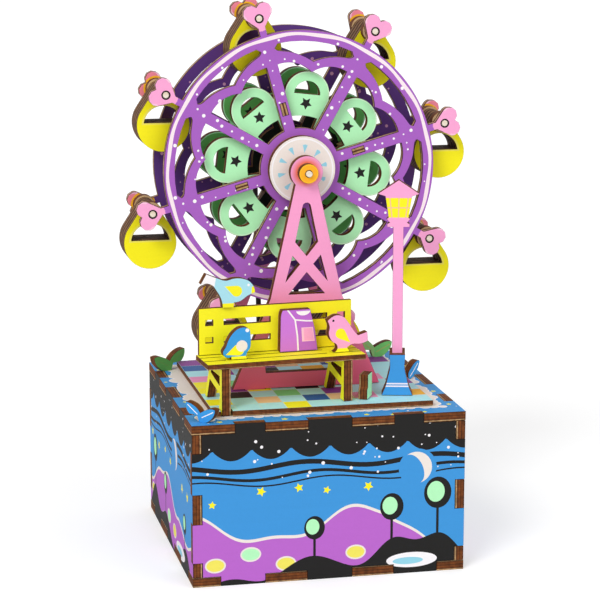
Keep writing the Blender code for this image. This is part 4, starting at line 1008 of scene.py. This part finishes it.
def night_prints(side: int) -> list[Print]:
    """A hilly night landscape for one side of the box, each side with its own trees, phase and seed.

    The dark sky hangs down in scallops, a sine's absolute value. Each near hill is a Gaussian under
    a tree, and the far hills are the sum of two sines.

    Args:
        side: 0 for the front, then 1, 2 and 3.
    Returns:
        the printed areas, across from -52.5 to 52.5 and up from the base.
    """
    x, s = np.linspace(-56.0, 56.0, 150), side * 2.3
    scallop = 52.5 - 4.4 * np.abs(np.sin(math.pi * x / 15 + s)) ** 0.8
    prints: list[Print] = [(under(np.stack([x, scallop + 0.1], 1), 70.0), BLACK)]
    for height, width in ((45.2, 1.9), (41.6, 1.2), (39.2, 0.6)):
        wave = np.stack([x[::3], height + 1.3 * np.sin(x[::3] / 8 + s + height / 5)], 1)
        prints.append((ribbon(wave, width), BLACK))
    prints += scatter(31 + side, 46, (-52, 52, 40, 61), (0.24, 0.72))
    moon = NIGHT_MOONS[side]
    prints += [(disc(moon, 7.4, 48), SKY), (crescent((moon[0] - 0.6, moon[1]), 6.2, 0.5, 0.45), CREAM)]
    far = 21.0 + 5.5 * np.sin(x / 11.5 + 0.4 + s) + 1.6 * np.sin(x / 4.6 + s)
    far = far - np.maximum(x - 20, 0) * 0.4
    prints += [(under(np.stack([x, far + 1.2], 1), -4.0), CREAM), (under(np.stack([x, far], 1), -5.0), LILAC)]
    for k in range(5):
        place = (-44.0 + 13.5 * k, 8.0 + 3.6 * math.sin(1.7 * k + s))
        prints += [(oval(place, 4.0, 2.9), CREAM), (oval(place, 3.4, 2.3), MINT if k % 2 else LEMON)]
    near = 1.5 + 0.8 * np.sin(x / 3.4 + s)
    for trunk, height, _ in NIGHT_TREES[side]:
        near = near + 0.48 * height * np.exp(-(((x - trunk) / 10.5) ** 2))
    prints.append((under(np.stack([x, near], 1), -6.0), BLACK))
    draw = np.random.default_rng(60 + side)
    crowns = np.array([(trunk, height + crown * 0.6, crown + 2.6)
                       for trunk, height, crown in NIGHT_TREES[side]])
    for place in np.arange(-44.0, 50.0, 14.6):
        spot = (float(place + draw.uniform(-3, 3)), float(draw.uniform(31.5, 36.5)))
        size = float(draw.uniform(1.6, 2.3))
        free = np.hypot(*(crowns[:, :2] - spot).T) > crowns[:, 2]
        if free.all() and math.dist(spot, moon) > 9.4:
            prints.append((star(spot, size, 5, 0.48, spot[0]), YELLOW))
    for trunk, height, crown in NIGHT_TREES[side]:
        middle = height + crown * 0.6
        prints += [(rectangle(trunk - 0.5, trunk + 0.5, 4.0, height), BLACK),
                   (oval((trunk, middle), crown, crown * 1.15), BLACK),
                   (oval((trunk - 0.7, middle + 0.4), crown * 0.64, crown * 0.76), MINT)]
    pond = NIGHT_TREES[side][2][0] - 10.0
    prints += [(oval((pond, 5.2), 10.0, 3.0), WHITE), (oval((pond - 1.5, 4.9), 6.0, 1.4), PALE_SKY)]
    return prints


# Sub-assemblies

@dataclass
class MusicBox:
    """The box: two fingered plates and four printed panels."""

    plate: float = 105.0
    deck: float = 85.0
    cloud_step: float = 11.0

    def border_prints(self) -> list[Print]:
        """White edged clouds round the deck, and yellow bits between them, on the blue top.

        Returns:
            the printed areas.
        """
        draw = np.random.default_rng(12)
        prints: list[Print] = []
        clouds, seams, bits = [], [], []
        reach = self.deck / 2
        prints.append((rectangle(-reach - 1.2, reach + 1.2, -reach - 1.2, reach + 1.2), WHITE))
        for side, swell in enumerate((1.0, 1.3, 0.6, 1.0)):
            turn = side * math.pi / 2
            for along in np.arange(-reach, reach + 1, self.cloud_step):
                spot = along + draw.uniform(-2, 2)
                for k in range(3):
                    out = reach + swell * draw.uniform(0.2, 2.4)
                    place = turned(np.array([(spot + (k - 1) * 3.4, out)]), turn)[0]
                    size = swell * draw.uniform(1.9, 3.3)
                    seams.append((disc(tuple(place), size + 0.5, 18), WHITE))
                    clouds.append((disc(tuple(place), size, 18), CREAM))
                bit = turned(np.array([(spot + 5.5, self.plate / 2 - draw.uniform(1.2, 4.0))]), turn)[0]
                bits.append((star(tuple(bit), draw.uniform(0.9, 1.5), 5, 0.55, spot), YELLOW))
        prints += seams + clouds + bits
        edge = self.plate / 2
        prints += scatter(77, 60, (-edge, edge, -edge, edge), (0.25, 0.55))
        return prints

    def build(self) -> list[bpy.types.Object]:
        """Dress the six plates.

        Returns:
            the objects.
        """
        sides = ((Side.FRONT, "front_panel", 0), (Side.LEFT, "left_panel", 1),
                 (Side.BACK, "back_panel", 2), (Side.RIGHT, "right_panel", 3))
        made = [Sheet(node, side, SKY, night_prints(k), steps=1).build() for side, node, k in sides]
        made.append(Sheet("top_plate", Side.UP, SKY, self.border_prints(), steps=1).build())
        made.append(Sheet("bottom_plate", Side.UP, BARE, steps=1).build())
        return made


@dataclass
class TiledDeck:
    """The square deck of printed tiles."""

    size: float = 85.0
    tiles: int = 9
    joint: float = 0.24

    def build(self) -> list[bpy.types.Object]:
        """A grid of squares, about half of them teal.

        Returns:
            the object.
        """
        palette = (TEAL, TEAL, TEAL, YELLOW, ORANGE_TILE, PEACH, BLUE_TILE, NAVY, BLACK, PLUM,
                   MINT_TILE, PINK_TILE)
        draw = np.random.default_rng(5)
        step = self.size / self.tiles
        prints: list[Print] = []
        for row in range(self.tiles):
            for column in range(self.tiles):
                x, y = -self.size / 2 + column * step, -self.size / 2 + row * step
                paint = palette[int(draw.integers(len(palette)))] if (row + column) % 2 else TEAL
                if draw.random() < 0.2:
                    paint = palette[int(draw.integers(len(palette)))]
                j = self.joint / 2
                prints.append((rectangle(x + j, x + step - j, y + j, y + step - j), paint))
        return [Sheet("tile_deck", Side.UP, JOINT, prints, steps=1).build()]


@dataclass
class Frames:
    """The two pink supports that carry the axle."""

    def build(self) -> list[bpy.types.Object]:
        """Fade both plates from pink down to a deep rose as painted shade, with a painted glow round the ring
        in front.
        """
        return [Sheet(node, Side.FRONT, FRAME_PINK, back=FRAME_PINK, limit_deg=30).build()
                for node in ("front_support", "rear_support")]


@dataclass
class Wheel:
    """The two rim plates with their flowers, hub discs, spacers, pins and axle."""

    rim: float = 53.4
    stripe_w: float = 1.35
    stripe_in: float = 0.7
    heart_tip: float = 55.4
    heart_h: float = 10.5
    heart_w: float = 11.3
    hub: float = 13.0
    petal_r: float = 28.6
    pin_ring: float = 4.9
    pin_end: float = 1.8

    def plate_prints(self, seed: int, paint: Paint, hearts: tuple[Paint, Paint, Paint], stripe: bool = True,
                     dots: Paint = WHITE) -> list[Print]:
        """The wavy stripe near the edge, the dots and the eight hearts.

        Args:
            seed: the seed of the dots.
            paint: the plate's own colour.
            hearts: the hearts' edge, their body and the ring round the pin.
            stripe: whether the face has the stripe.
            dots: the finish of the dots.
        Returns:
            the printed areas about the axle.
        """
        a = np.arange(180) * TAU / 180
        outer = self.rim - self.stripe_in + 0.16 * np.sin(16 * a)
        inner = self.rim - self.stripe_in - self.stripe_w + 0.26 * np.sin(16 * a + 0.9)
        prints: list[Print] = []
        if stripe:
            prints += [(polar(outer, a), STRIPE), (polar(inner, a), paint)]
        prints += self.star_dots(seed, dots)
        for angle in SPOKES:
            centre = polar(self.heart_tip + self.heart_h * 0.56, angle)
            for finish, wide, high in ((hearts[0], 1.25, 1.2), (hearts[1], 0.93, 0.90)):
                shape = heart(centre, self.heart_w * wide, self.heart_h * high, angle - math.pi / 2)
                prints.append((shape, finish))
            pin = tuple(polar(PIN_R, angle))
            prints += [(disc(pin, self.pin_ring, 28), hearts[2]), (disc(pin, self.pin_end, 24), BLACK)]
        return prints

    def star_dots(self, seed: int, paint: Paint) -> list[Print]:
        """Dots of many sizes along the spokes, the scalloped band and the rim.

        On the band the radius grows with the angle away from the middle of the sector, as the
        scallops do.

        Args:
            seed: the seed of the places and sizes.
            paint: the finish of the dots.
        Returns:
            the printed dots about the axle.
        """
        draw = np.random.default_rng(seed)
        reach, angles = [], []
        for spoke in SPOKES:
            along = np.arange(18.5, 50.0, 4.1) + draw.uniform(-1.2, 1.2, 8)
            reach.append(along)
            angles.append(spoke + draw.uniform(-1.5, 1.5, 8) / along)
            away = draw.uniform(-0.9, 0.9, 4) * math.pi / 8
            reach.append(39.6 + 4.9 * np.abs(away) / (math.pi / 8) + draw.uniform(-0.8, 0.8, 4))
            angles.append(spoke + math.pi / 8 + away)
            reach.append(50.4 + draw.uniform(-0.5, 0.3, 2))
            angles.append(spoke + draw.uniform(0, math.pi / 4, 2))
        places = polar(np.concatenate(reach), np.concatenate(angles))
        radii = 0.28 + 0.5 * draw.random(len(places)) ** 1.6
        return [(disc(tuple(p), float(r), 10), paint) for p, r in zip(places, radii)]

    def flower_prints(self, inner: Paint) -> list[Print]:
        """Petals inside a paler outline, with a black star below each half moon window, and on the rear
        flower a black disc as painted shade behind the windows.

        Args:
            inner: the finish of the petals.
        Returns:
            the printed areas about the axle.
        """
        prints: list[Print] = [(disc((0.0, 0.0), 25.4, 60), inner)]
        # A black disc on the rear flower: painted shade in the hub's hollow, seen through the front flower's
        # windows
        if inner is GREEN:
            prints.append((disc((0.0, 0.0), 21.6, 60), BLACK))
        middles = SPOKES + math.pi / 8
        prints += [(disc(tuple(polar(self.petal_r, a)), 8.35, 36), inner) for a in middles]
        prints += [(star(tuple(polar(25.0, a)), 2.5, 5, 0.5, a + math.pi), BLACK) for a in middles]
        return prints

    def hub_prints(self) -> list[Print]:
        """A white line near the edge and pale blue wedges that point at the axle.

        Returns:
            the printed areas about the axle.
        """
        prints: list[Print] = [(disc((0.0, 0.0), self.hub - 0.7, 60), WHITE),
                               (disc((0.0, 0.0), self.hub - 1.25, 60), CREAM)]
        wedge = np.array([(6.5, 0.0), (9.6, -0.95), (9.9, 0.0), (9.6, 0.95)])
        prints += [(turned(wedge, float(a)), PALE_SKY) for a in np.arange(10) * TAU / 10 + 0.2]
        return prints

    def build_plates(self) -> list[bpy.types.Object]:
        """The printed flat pieces, from the front to the back.

        Returns:
            the objects.
        """
        at = (0.0, 0.0, AXLE_Z)
        front = self.plate_prints(3, PURPLE, (HEART_LINE, PINK, PINK))
        # Amber rings round its pins: painted yellow light thrown back by the gondolas
        # The rear plate's front face: darker purple and pink dots as painted shade
        rear = self.plate_prints(8, SHADED_DEEP_PURPLE, (HEART_LINE, CORAL, AMBER), False, SHADED_DOT_PINK)
        behind = self.plate_prints(9, PURPLE, (HEART_LINE, PINK, PINK))
        plates = [
            Sheet("wheel_front_plate", Side.FRONT, PURPLE, front, SHADED_DEEP_PURPLE, edge=PALE_EDGE, origin=at),
            Sheet("wheel_rear_plate", Side.FRONT, SHADED_DEEP_PURPLE, rear, PURPLE, behind, PALE_EDGE, origin=at),
            Sheet("flower_front", Side.FRONT, MINT_LINE, self.flower_prints(MINT), GREEN, origin=at),
            Sheet("flower_rear", Side.FRONT, MINT, self.flower_prints(GREEN), GREEN, origin=at),
            Sheet("hub_disc_front", Side.FRONT, CREAM, self.hub_prints(), origin=at),
            Sheet("hub_disc_rear", Side.BACK, CREAM, self.hub_prints(), origin=at),
            Sheet("axle_ring", Side.FRONT, AMBER, [(disc((0.0, 0.0), 3.2, 40), ORANGE_RING)], origin=at),
        ]
        return [plate.build() for plate in plates]

    def build_spacers(self) -> list[bpy.types.Object]:
        """The four strips between the rim plates."""
        sides = (Side.UP, Side.RIGHT, Side.UP, Side.RIGHT)
        return [Sheet(f"wheel_spacer_{k + 1}", side, BARE, back=BARE, edge=STRIP_EDGE, steps=1).build()
                for k, side in enumerate(sides)]

    def build_rods(self) -> list[bpy.types.Object]:
        """The pins and the axle, each with its two washers."""
        made = [self.rod(f"gondola_pin_{k}", 0.0, 29.2, ((3.8, 7.3), (21.9, 25.4))) for k in range(1, 9)]
        return made + [self.rod("wheel_axle", -16.4, 48.7, ((-7.6, -4.1), (33.3, 36.8)))]

    def rod(self, node: str, front: float, back: float,
            washers: tuple[tuple[float, float], ...]) -> bpy.types.Object:
        """A dowel with eased ends and burnt ply washers on it.

        Args:
            node: the rod's CAD node.
            front: the Y of its front end, in millimetres.
            back: the Y of its back end.
            washers: the front and back of each washer.
        Returns:
            the object.
        """
        rod_r, washer_r, ease = 1.2, 4.2, 0.2
        rows = [(rod_r - ease, front, DOWEL), (rod_r, front + ease, DOWEL)]
        for a, b in washers:
            rows += [(rod_r, a, BARE), (washer_r - 0.1, a, CHAR), (washer_r, a + 0.1, CHAR),
                     (washer_r, b - 0.1, CHAR), (washer_r - 0.1, b, BARE), (rod_r, b, DOWEL)]
        rows += [(rod_r, back - ease, DOWEL), (rod_r - ease, back, DOWEL)]
        return turned_piece(node, rows, 32)

    def build(self) -> list[bpy.types.Object]:
        """All of the wheel but its gondolas."""
        return self.build_plates() + self.build_spacers() + self.build_rods()


@dataclass
class Gondolas:
    """Eight yellow tubs of four layers that hang from the pins."""

    drop: float = 12.4
    window: float = 7.6
    sill: float = 0.9
    line: float = 0.75
    line_low: float = 0.6

    def build(self) -> list[bpy.types.Object]:
        """Each tub has a pale line round its window.

        Returns:
            the objects.
        """
        reach, low = self.window + self.line, self.sill - self.line_low
        level = math.asin(self.sill / self.window)
        a = np.linspace(level, math.pi - level, 30)
        rim = np.concatenate([polar(reach, a), [(-reach, low), (reach, low)]])
        prints: list[Print] = [(rim, LEMON)]
        made = []
        for k, angle in enumerate(SPOKES):
            x, z = polar(PIN_R, angle)
            at = (float(x), 0.0, AXLE_Z + float(z) - self.drop)
            made.append(Sheet(f"gondola_{k + 1}", Side.FRONT, GONDOLA_YELLOW, prints, GONDOLA_YELLOW,
                              prints, edge=TUB_EDGE, layers=4, origin=at).build())
        return made


@dataclass
class Drive:
    """The pulley on the axle, the belt, the crank and its knob, and the movement in the box."""

    crank_z: float = 32.0
    belt_y: float = 44.5
    wheel_r: float = 9.5
    crank_r: float = 6.5
    belt_r: float = 1.1

    def belt(self) -> bpy.types.Object:
        """A round belt: a circle carried along two arcs and the straight runs that touch them.

        Returns:
            the object.
        """
        lean = math.asin((self.wheel_r - self.crank_r) / (AXLE_Z - self.crank_z))
        over = np.linspace(lean, math.pi - lean, 40)
        under_arc = np.linspace(math.pi - lean, TAU + lean, 40)
        top = polar(self.wheel_r, over) + (0.0, AXLE_Z)
        low = polar(self.crank_r, under_arc) + (0.0, self.crank_z)
        t = np.linspace(0, 1, 24)[1:-1, None]
        path = np.concatenate([top, top[-1] + (low[0] - top[-1]) * t, low, low[-1] + (top[0] - low[-1]) * t])
        way = np.roll(path, -1, 0) - np.roll(path, 1, 0)
        way /= np.linalg.norm(way, axis=1, keepdims=True)
        out = np.stack([way[:, 1], -way[:, 0]], 1)
        around = 12
        a = np.arange(around) * TAU / around
        x = path[:, None, 0] + out[:, None, 0] * np.cos(a) * self.belt_r
        z = path[:, None, 1] + out[:, None, 1] * np.cos(a) * self.belt_r
        y = self.belt_y + np.sin(a) * self.belt_r + np.zeros_like(x)
        points = np.stack([x, y, z], -1).reshape(-1, 3) * MM
        # The rings run the other way round than in a turned piece, so each face is taken in reverse
        quads = lattice(len(path), around, True)[:, [0, 3, 2, 1]]
        return own(make_object("drive_belt_finished", points, [quads], [RUBBER], np.zeros(len(quads), int)),
                   "drive_belt")

    def pulley(self) -> bpy.types.Object:
        """A turned pulley: its groove is a half circle about the belt, between two eased flanges.

        Returns:
            the object.
        """
        y, deep, lip, half, ease, bore = self.belt_y, 1.4, 1.7, 3.0, 0.2, 1.35
        flange = self.wheel_r + deep
        t = np.linspace(-math.pi / 2, math.pi / 2, 11)
        groove = [(self.wheel_r - deep * math.cos(a), y + deep * math.sin(a), CHAR) for a in t]
        rows = [(bore, y - half, BARE), (flange - ease, y - half, CHAR), (flange, y - half + ease, CHAR),
                (flange, y - lip, CHAR), *groove, (flange, y + lip, CHAR), (flange, y + half - ease, CHAR),
                (flange - ease, y + half, BARE), (bore, y + half, BARE)]
        return turned_piece("wheel_pulley", rows, 64, True)

    def knob(self) -> bpy.types.Object:
        """A turned handle: the radius swells along a half sine between the neck and the cap.

        Returns:
            the object.
        """
        t = np.linspace(0, 1, 16)
        body = [(3.0 + 1.6 * math.sin(math.pi * min(1.0, s * 0.62 + 0.02)), 57.0 + 12.8 * s, PINK) for s in t]
        rows = [(1.2, 52.8, DOWEL), (1.2, 56.6, PINK), (2.7, 56.6, PINK), *body,
                (3.2, 70.35, PINK), (2.0, 70.6, PINK)]
        return turned_piece("crank_knob", rows, 48)

    def build(self) -> list[bpy.types.Object]:
        """The moving parts at the back and in the box.

        Returns:
            the new objects.
        """
        for node, paint in (("crank_shaft", STEEL), ("music_drum", BRASS), ("movement_comb", STEEL),
                            ("movement_frame", BRASS)):
            dress(node, paint)
        arm = Sheet("crank_arm", Side.BACK, BARE, steps=3).build()
        return [self.pulley(), self.belt(), arm, self.knob()]


@dataclass(frozen=True)
class Figure:
    """The outline box of a flat figure, on which places are shares of its width and height."""

    width: float
    height: float

    def spots(self, *rows: Point) -> Array:
        """Points from shares, about the middle of the figure's foot."""
        return np.array(rows) * (self.width, self.height) - (self.width / 2, 0.0)

    def spot(self, x: float, y: float) -> Point:
        """One point from its two shares."""
        return tuple(self.spots((x, y))[0])


@dataclass
class Bench:
    """The yellow bench with its bag and birds."""

    x: float = -13.5
    y: float = -39.5
    turn: float = math.radians(5.0)

    def at(self, x: float, y: float, z: float) -> Place:
        """A place in the bench's own frame, as a place in the model."""
        c, s = math.cos(self.turn), math.sin(self.turn)
        return (self.x + x * c - y * s, self.y + x * s + y * c, z)

    def bird_on_rail(self) -> Sheet:
        """A pale blue bird with a yellow wing and a white tail.

        Returns:
            the sheet.
        """
        bird = Figure(21.1, 13.2)
        tail = bird.spots((-0.05, 0.6), (0.24, 0.55), (0.30, 1.1), (-0.05, 1.2))
        wing = drop(bird.spot(0.44, 0.62), bird.spot(0.66, 0.46), 2.1)
        beak = bird.spots((0.93, 0.30), (1.05, 0.30), (1.05, 0.62), (0.94, 0.56))
        feet = bird.spots((0.36, -0.05), (0.64, -0.05), (0.62, 0.12), (0.38, 0.12))
        eye = disc(bird.spot(0.88, 0.62), 0.5)
        prints = [(tail, WHITE), (wing, YELLOW), (beak, YELLOW), (feet, YELLOW), (eye, WHITE)]
        return Sheet("bird_on_rail", Side.FRONT, BIRD_SKY, prints, BIRD_SKY, limit_deg=62,
                     origin=self.at(-19.2, 15.75, 101.2))

    def bird_on_left(self) -> Sheet:
        """A blue bird with a cream belly over a yellow wing.

        Returns:
            the sheet.
        """
        bird = Figure(10.8, 11.8)
        wing = drop(bird.spot(0.10, 0.16), bird.spot(0.56, 0.30), 2.2)
        belly = disc(bird.spot(0.68, 0.42), 2.2, 24)
        feet = bird.spots((0.28, -0.05), (0.88, -0.05), (0.86, 0.09), (0.3, 0.09))
        eye = disc(bird.spot(0.88, 0.92), 0.75)
        prints = [(wing, YELLOW), (belly, CREAM), (feet, YELLOW), (eye, WHITE)]
        return Sheet("bird_on_seat_left", Side.FRONT, BIRD_BLUE, prints, BIRD_BLUE, limit_deg=62,
                     origin=self.at(-18.4, 6.8, 83.1))

    def bird_on_right(self) -> Sheet:
        """A pink bird with a yellow wing.

        Returns:
            the sheet.
        """
        bird = Figure(16.2, 14.3)
        wing = drop(bird.spot(0.56, 0.24), bird.spot(0.32, 0.50), 2.0)
        feet = bird.spots((0.14, -0.05), (0.56, -0.05), (0.5, 0.1), (0.22, 0.1))
        prints = [(wing, YELLOW), (feet, YELLOW), (disc(bird.spot(0.14, 0.86), 0.45), BLACK)]
        return Sheet("bird_on_seat_right", Side.FRONT, PINK, prints, PINK, limit_deg=62,
                     origin=self.at(25.5, 6.8, 83.1))

    def bag(self) -> Sheet:
        """An orchid satchel with white piping, a pink pocket and a white handle patch.

        Returns:
            the sheet.
        """
        bag = Figure(14.8, 16.0)
        shade = bag.spots((0.49, -0.1), (0.40, 0.76), (0.12, 1.1), (1.1, 1.12), (1.12, -0.1))
        piping = [ribbon(bag.spots((0.14, 1.08), (0.40, 0.76), (0.46, 0.38), (0.49, -0.1)), 0.62),
                  ribbon(bag.spots((0.40, 0.76), (0.7, 0.72), (1.08, 0.70)), 0.55)]
        pocket = bag.spots((0.59, 0.22), (0.93, 0.22), (0.88, 0.56), (0.57, 0.56))
        inner = bag.spots((0.65, 0.24), (0.91, 0.24), (0.86, 0.54), (0.63, 0.54))
        handle = oval(bag.spot(0.62, 0.98), 2.9, 2.0)
        prints = [(shade, PLUM_SOFT), *((line, WHITE) for line in piping), (pocket, HEART_LINE),
                  (inner, PINK), (handle, WHITE), (rectangle(-1.2, 5.8, 15.4, 17.5), PLUM_SOFT)]
        return Sheet("school_bag", Side.FRONT, ORCHID, prints, ORCHID, limit_deg=40, steps=2,
                     origin=self.at(8.0, 13.45, 83.1))

    def build(self) -> list[bpy.types.Object]:
        """The bench's four plates and the four figures on it.

        Returns:
            the objects.
        """
        sides = (("bench_seat", Side.UP), ("bench_back", Side.FRONT), ("bench_leg_left", Side.LEFT),
                 ("bench_leg_right", Side.LEFT))
        plates = [Sheet(node, side, YELLOW, back=YELLOW, steps=1) for node, side in sides]
        figures = [self.bird_on_rail(), self.bird_on_left(), self.bird_on_right(), self.bag()]
        return [sheet.build() for sheet in plates + figures]


@dataclass
class StreetLamp:
    """The pink street lamp and the blue plate round its foot."""

    place: Place = (32.2, -27.5, 65.1)
    pane_low: float = 68.5
    pane_high: float = 76.0
    lantern_half: float = 5.2
    bar_half: float = 0.24

    def build(self) -> list[bpy.types.Object]:
        """Panes of warm light to the lantern's very edges, thin bars, burnt shoulders and a lined foot.

        Returns:
            the objects.
        """
        half, bar, base, top = self.lantern_half, self.bar_half, self.pane_low, self.pane_high
        panes = rectangle(-half, half, base, top)
        middle = (base + top) / 2
        bars = [rectangle(-half, half, middle - bar, middle + bar)]
        bars += [np.array([(low - bar, base), (low + bar, base), (high + bar, top), (high - bar, top)])
                 for low, high in ((-2.5, -3.35), (0.0, 0.1), (2.7, 3.7))]
        shoulders = [rectangle(1.9, 3.3, 14.8, 17.2), rectangle(-3.3, -1.9, 14.8, 17.2)]
        prints = [(panes, YELLOW), *((line, PANE_BAR) for line in bars),
                  *((part, CHAR) for part in shoulders)]
        foot = [(rectangle(-7, 7, 3.2, 3.75), STRIPE), (rectangle(-7, 7, 4.2, 4.75), STRIPE)]
        return [Sheet("lamp_post", Side.FRONT, PINK, prints, PINK, steps=1, origin=self.place).build(),
                Sheet("lamp_base", Side.FRONT, SKY, foot, SKY, steps=1, origin=self.place).build()]


@dataclass
class Garden:
    """Leaves round the deck and the little post."""

    width: float = 14.5
    height: float = 8.0
    vein_w: float = 0.35

    def sprout(self, node: str, place: Place, leaf: Paint, other: Paint, vein: Paint,
               scale: float = 1.0, twin: bool = False) -> Sheet:
        """Two leaves on one stem, the low one of another colour, each with a midline.

        Args:
            node: the sprout's CAD node.
            place: the middle of its foot, in millimetres.
            leaf: the finish of the tall leaf.
            other: the finish of the low leaf.
            vein: the finish of the midlines.
            scale: its size beside the largest one's.
            twin: whether it is the mirror image, with its tall leaf on the left.
        Returns:
            the sheet.
        """
        size = np.array((self.width, self.height)) * scale
        flip = np.array((-1.0 if twin else 1.0, 1.0))

        def spots(*rows: Point) -> Array:
            """Points given in shares of the sprout's width and height."""
            return (np.array(rows) - (0.5, 0.0)) * size * flip

        low = spots((-0.1, -0.1), (0.50, -0.1), (0.51, 0.46), (0.40, 0.9), (-0.1, 0.9))
        t = np.linspace(0, 1, 8)[:, None]
        lines = [ribbon(spots((0.60, 0.38)) * (1 - t) + spots((0.95, 0.88)) * t, self.vein_w),
                 ribbon(spots((0.46, 0.22)) * (1 - t) + spots((0.06, 0.60)) * t, self.vein_w)]
        return Sheet(node, Side.FRONT, leaf, [(low, other)] + [(line, vein) for line in lines], leaf,
                     limit_deg=50, origin=place)

    def build(self) -> list[bpy.types.Object]:
        """Three sprouts, a leaf and the post.

        Returns:
            the objects.
        """
        vein = ribbon(np.array([(-2.2, 0.9), (0.0, 3.2), (2.1, 5.7)]), 0.4)
        made = [self.sprout("sprout_back_left", (-47.2, 38.0, 62.8), LEAF, LEAF, LEAF_LINE),
                self.sprout("sprout_back_right", (38.7, 34.5, 65.1), PALE_LEAF, BRIGHT_LEAF, BROWN_LINE,
                            twin=True),
                self.sprout("sprout_front_left", (-47.2, -46.2, 62.8), BIRD_BLUE, BIRD_BLUE, WHITE,
                            0.85, True),
                Sheet("leaf_right", Side.FRONT, BIRD_BLUE, [(vein, WHITE)], BIRD_BLUE, limit_deg=50,
                      origin=(46.3, 3.5, 62.8)),
                Sheet("deck_post", Side.RIGHT, MINT, back=MINT, steps=1)]
        return [sheet.build() for sheet in made]


@dataclass
class Studio:
    """The camera, the soft lights, the white surroundings and the floor."""

    lens: float = 131.13
    place: Place = (-0.18072, -0.8217, 0.27035)
    tilt: float = 11.6339
    roll: float = -0.0006
    pan: float = -12.3884
    ambient: float = 0.58
    key: float = 1.4
    fill: float = 0.6

    def camera(self) -> None:
        """The photograph's view."""
        data = bpy.data.cameras.new("camera")
        data.lens, data.sensor_width = self.lens, 36.0
        obj = linked("camera", data)
        obj.location = self.place
        obj.rotation_euler = (math.radians(90 - self.tilt), self.roll, math.radians(self.pan))
        bpy.context.scene.camera = obj

    def lamp(self, name: str, strength: float, angle: float, tilt: float, pan: float) -> None:
        """A broad far lamp.

        Args:
            name: its name.
            strength: its strength.
            angle: how broad it is, in degrees.
            tilt: its tilt from straight down, in degrees.
            pan: its turn about the upright, in degrees.
        """
        data = bpy.data.lights.new(name, "SUN")
        data.energy, data.angle = strength, math.radians(angle)
        linked(name, data).rotation_euler = (math.radians(tilt), 0.0, math.radians(pan))

    def world(self) -> None:
        """White to the camera and in gloss, and a dimmer white as light."""
        world = bpy.data.worlds.new("surroundings")
        world.use_nodes = True
        sky = Tree(world.node_tree)
        shader = sky.tree.nodes["Background"]
        camera = sky.add("LightPath", {}, "Is Camera Ray")
        rays = camera.node.outputs
        seen = sky.math("MAXIMUM", camera, rays["Is Glossy Ray"])
        both = sky.math("MAXIMUM", seen, rays["Is Transmission Ray"])
        light = sky.add("MapRange", {"Value": both, "To Min": self.ambient})
        sky.join(light, shader.inputs["Strength"])
        shader.inputs["Color"].default_value = (1.0, 1.0, 1.0, 1.0)
        bpy.context.scene.world = world

    def floor(self) -> None:
        """A pale floor that looks white to the camera and keeps the shadow."""
        graph = Graph("floor_white")
        graph.shader.inputs["Base Color"].default_value = (0.78, 0.78, 0.78, 1.0)
        graph.shader.inputs["Roughness"].default_value = 0.9
        graph.shader.inputs["Emission Color"].default_value = (1.0, 1.0, 1.0, 1.0)
        ray = graph.add("LightPath", {}, "Is Camera Ray")
        graph.join(graph.math("MULTIPLY", ray, 0.36), graph.shader.inputs["Emission Strength"])
        mesh = bpy.data.meshes.new("floor")
        corners = np.array([(-6, -6, 0), (6, -6, 0), (6, 6, 0), (-6, 6, 0)], float)
        mesh.from_pydata(corners.tolist(), [], [(0, 1, 2, 3)])
        mesh.materials.append(graph.material)
        obj = linked("floor", mesh)

    def build(self) -> None:
        """Set everything up."""
        bpy.context.scene.view_settings.view_transform = "Standard"
        self.camera()
        self.world()
        self.lamp("key_lamp", self.key, 24.0, 52.0, -42.0)
        self.lamp("fill_lamp", self.fill, 40.0, 62.0, 38.0)
        self.floor()


def main() -> None:
    """Build the toy's parts in order and report each piece."""
    logging.basicConfig(level=logging.INFO, format="%(name)s: %(message)s")
    Studio().build()
    for assembly in (MusicBox(), TiledDeck(), Frames(), Wheel(), Gondolas(), Drive(), Bench(), StreetLamp(),
                     Garden()):
        for piece in assembly.build():
            LOG.info("%s: %s, %d faces", type(assembly).__name__, piece.name, len(piece.data.polygons))


if __name__ == "__main__":
    main()
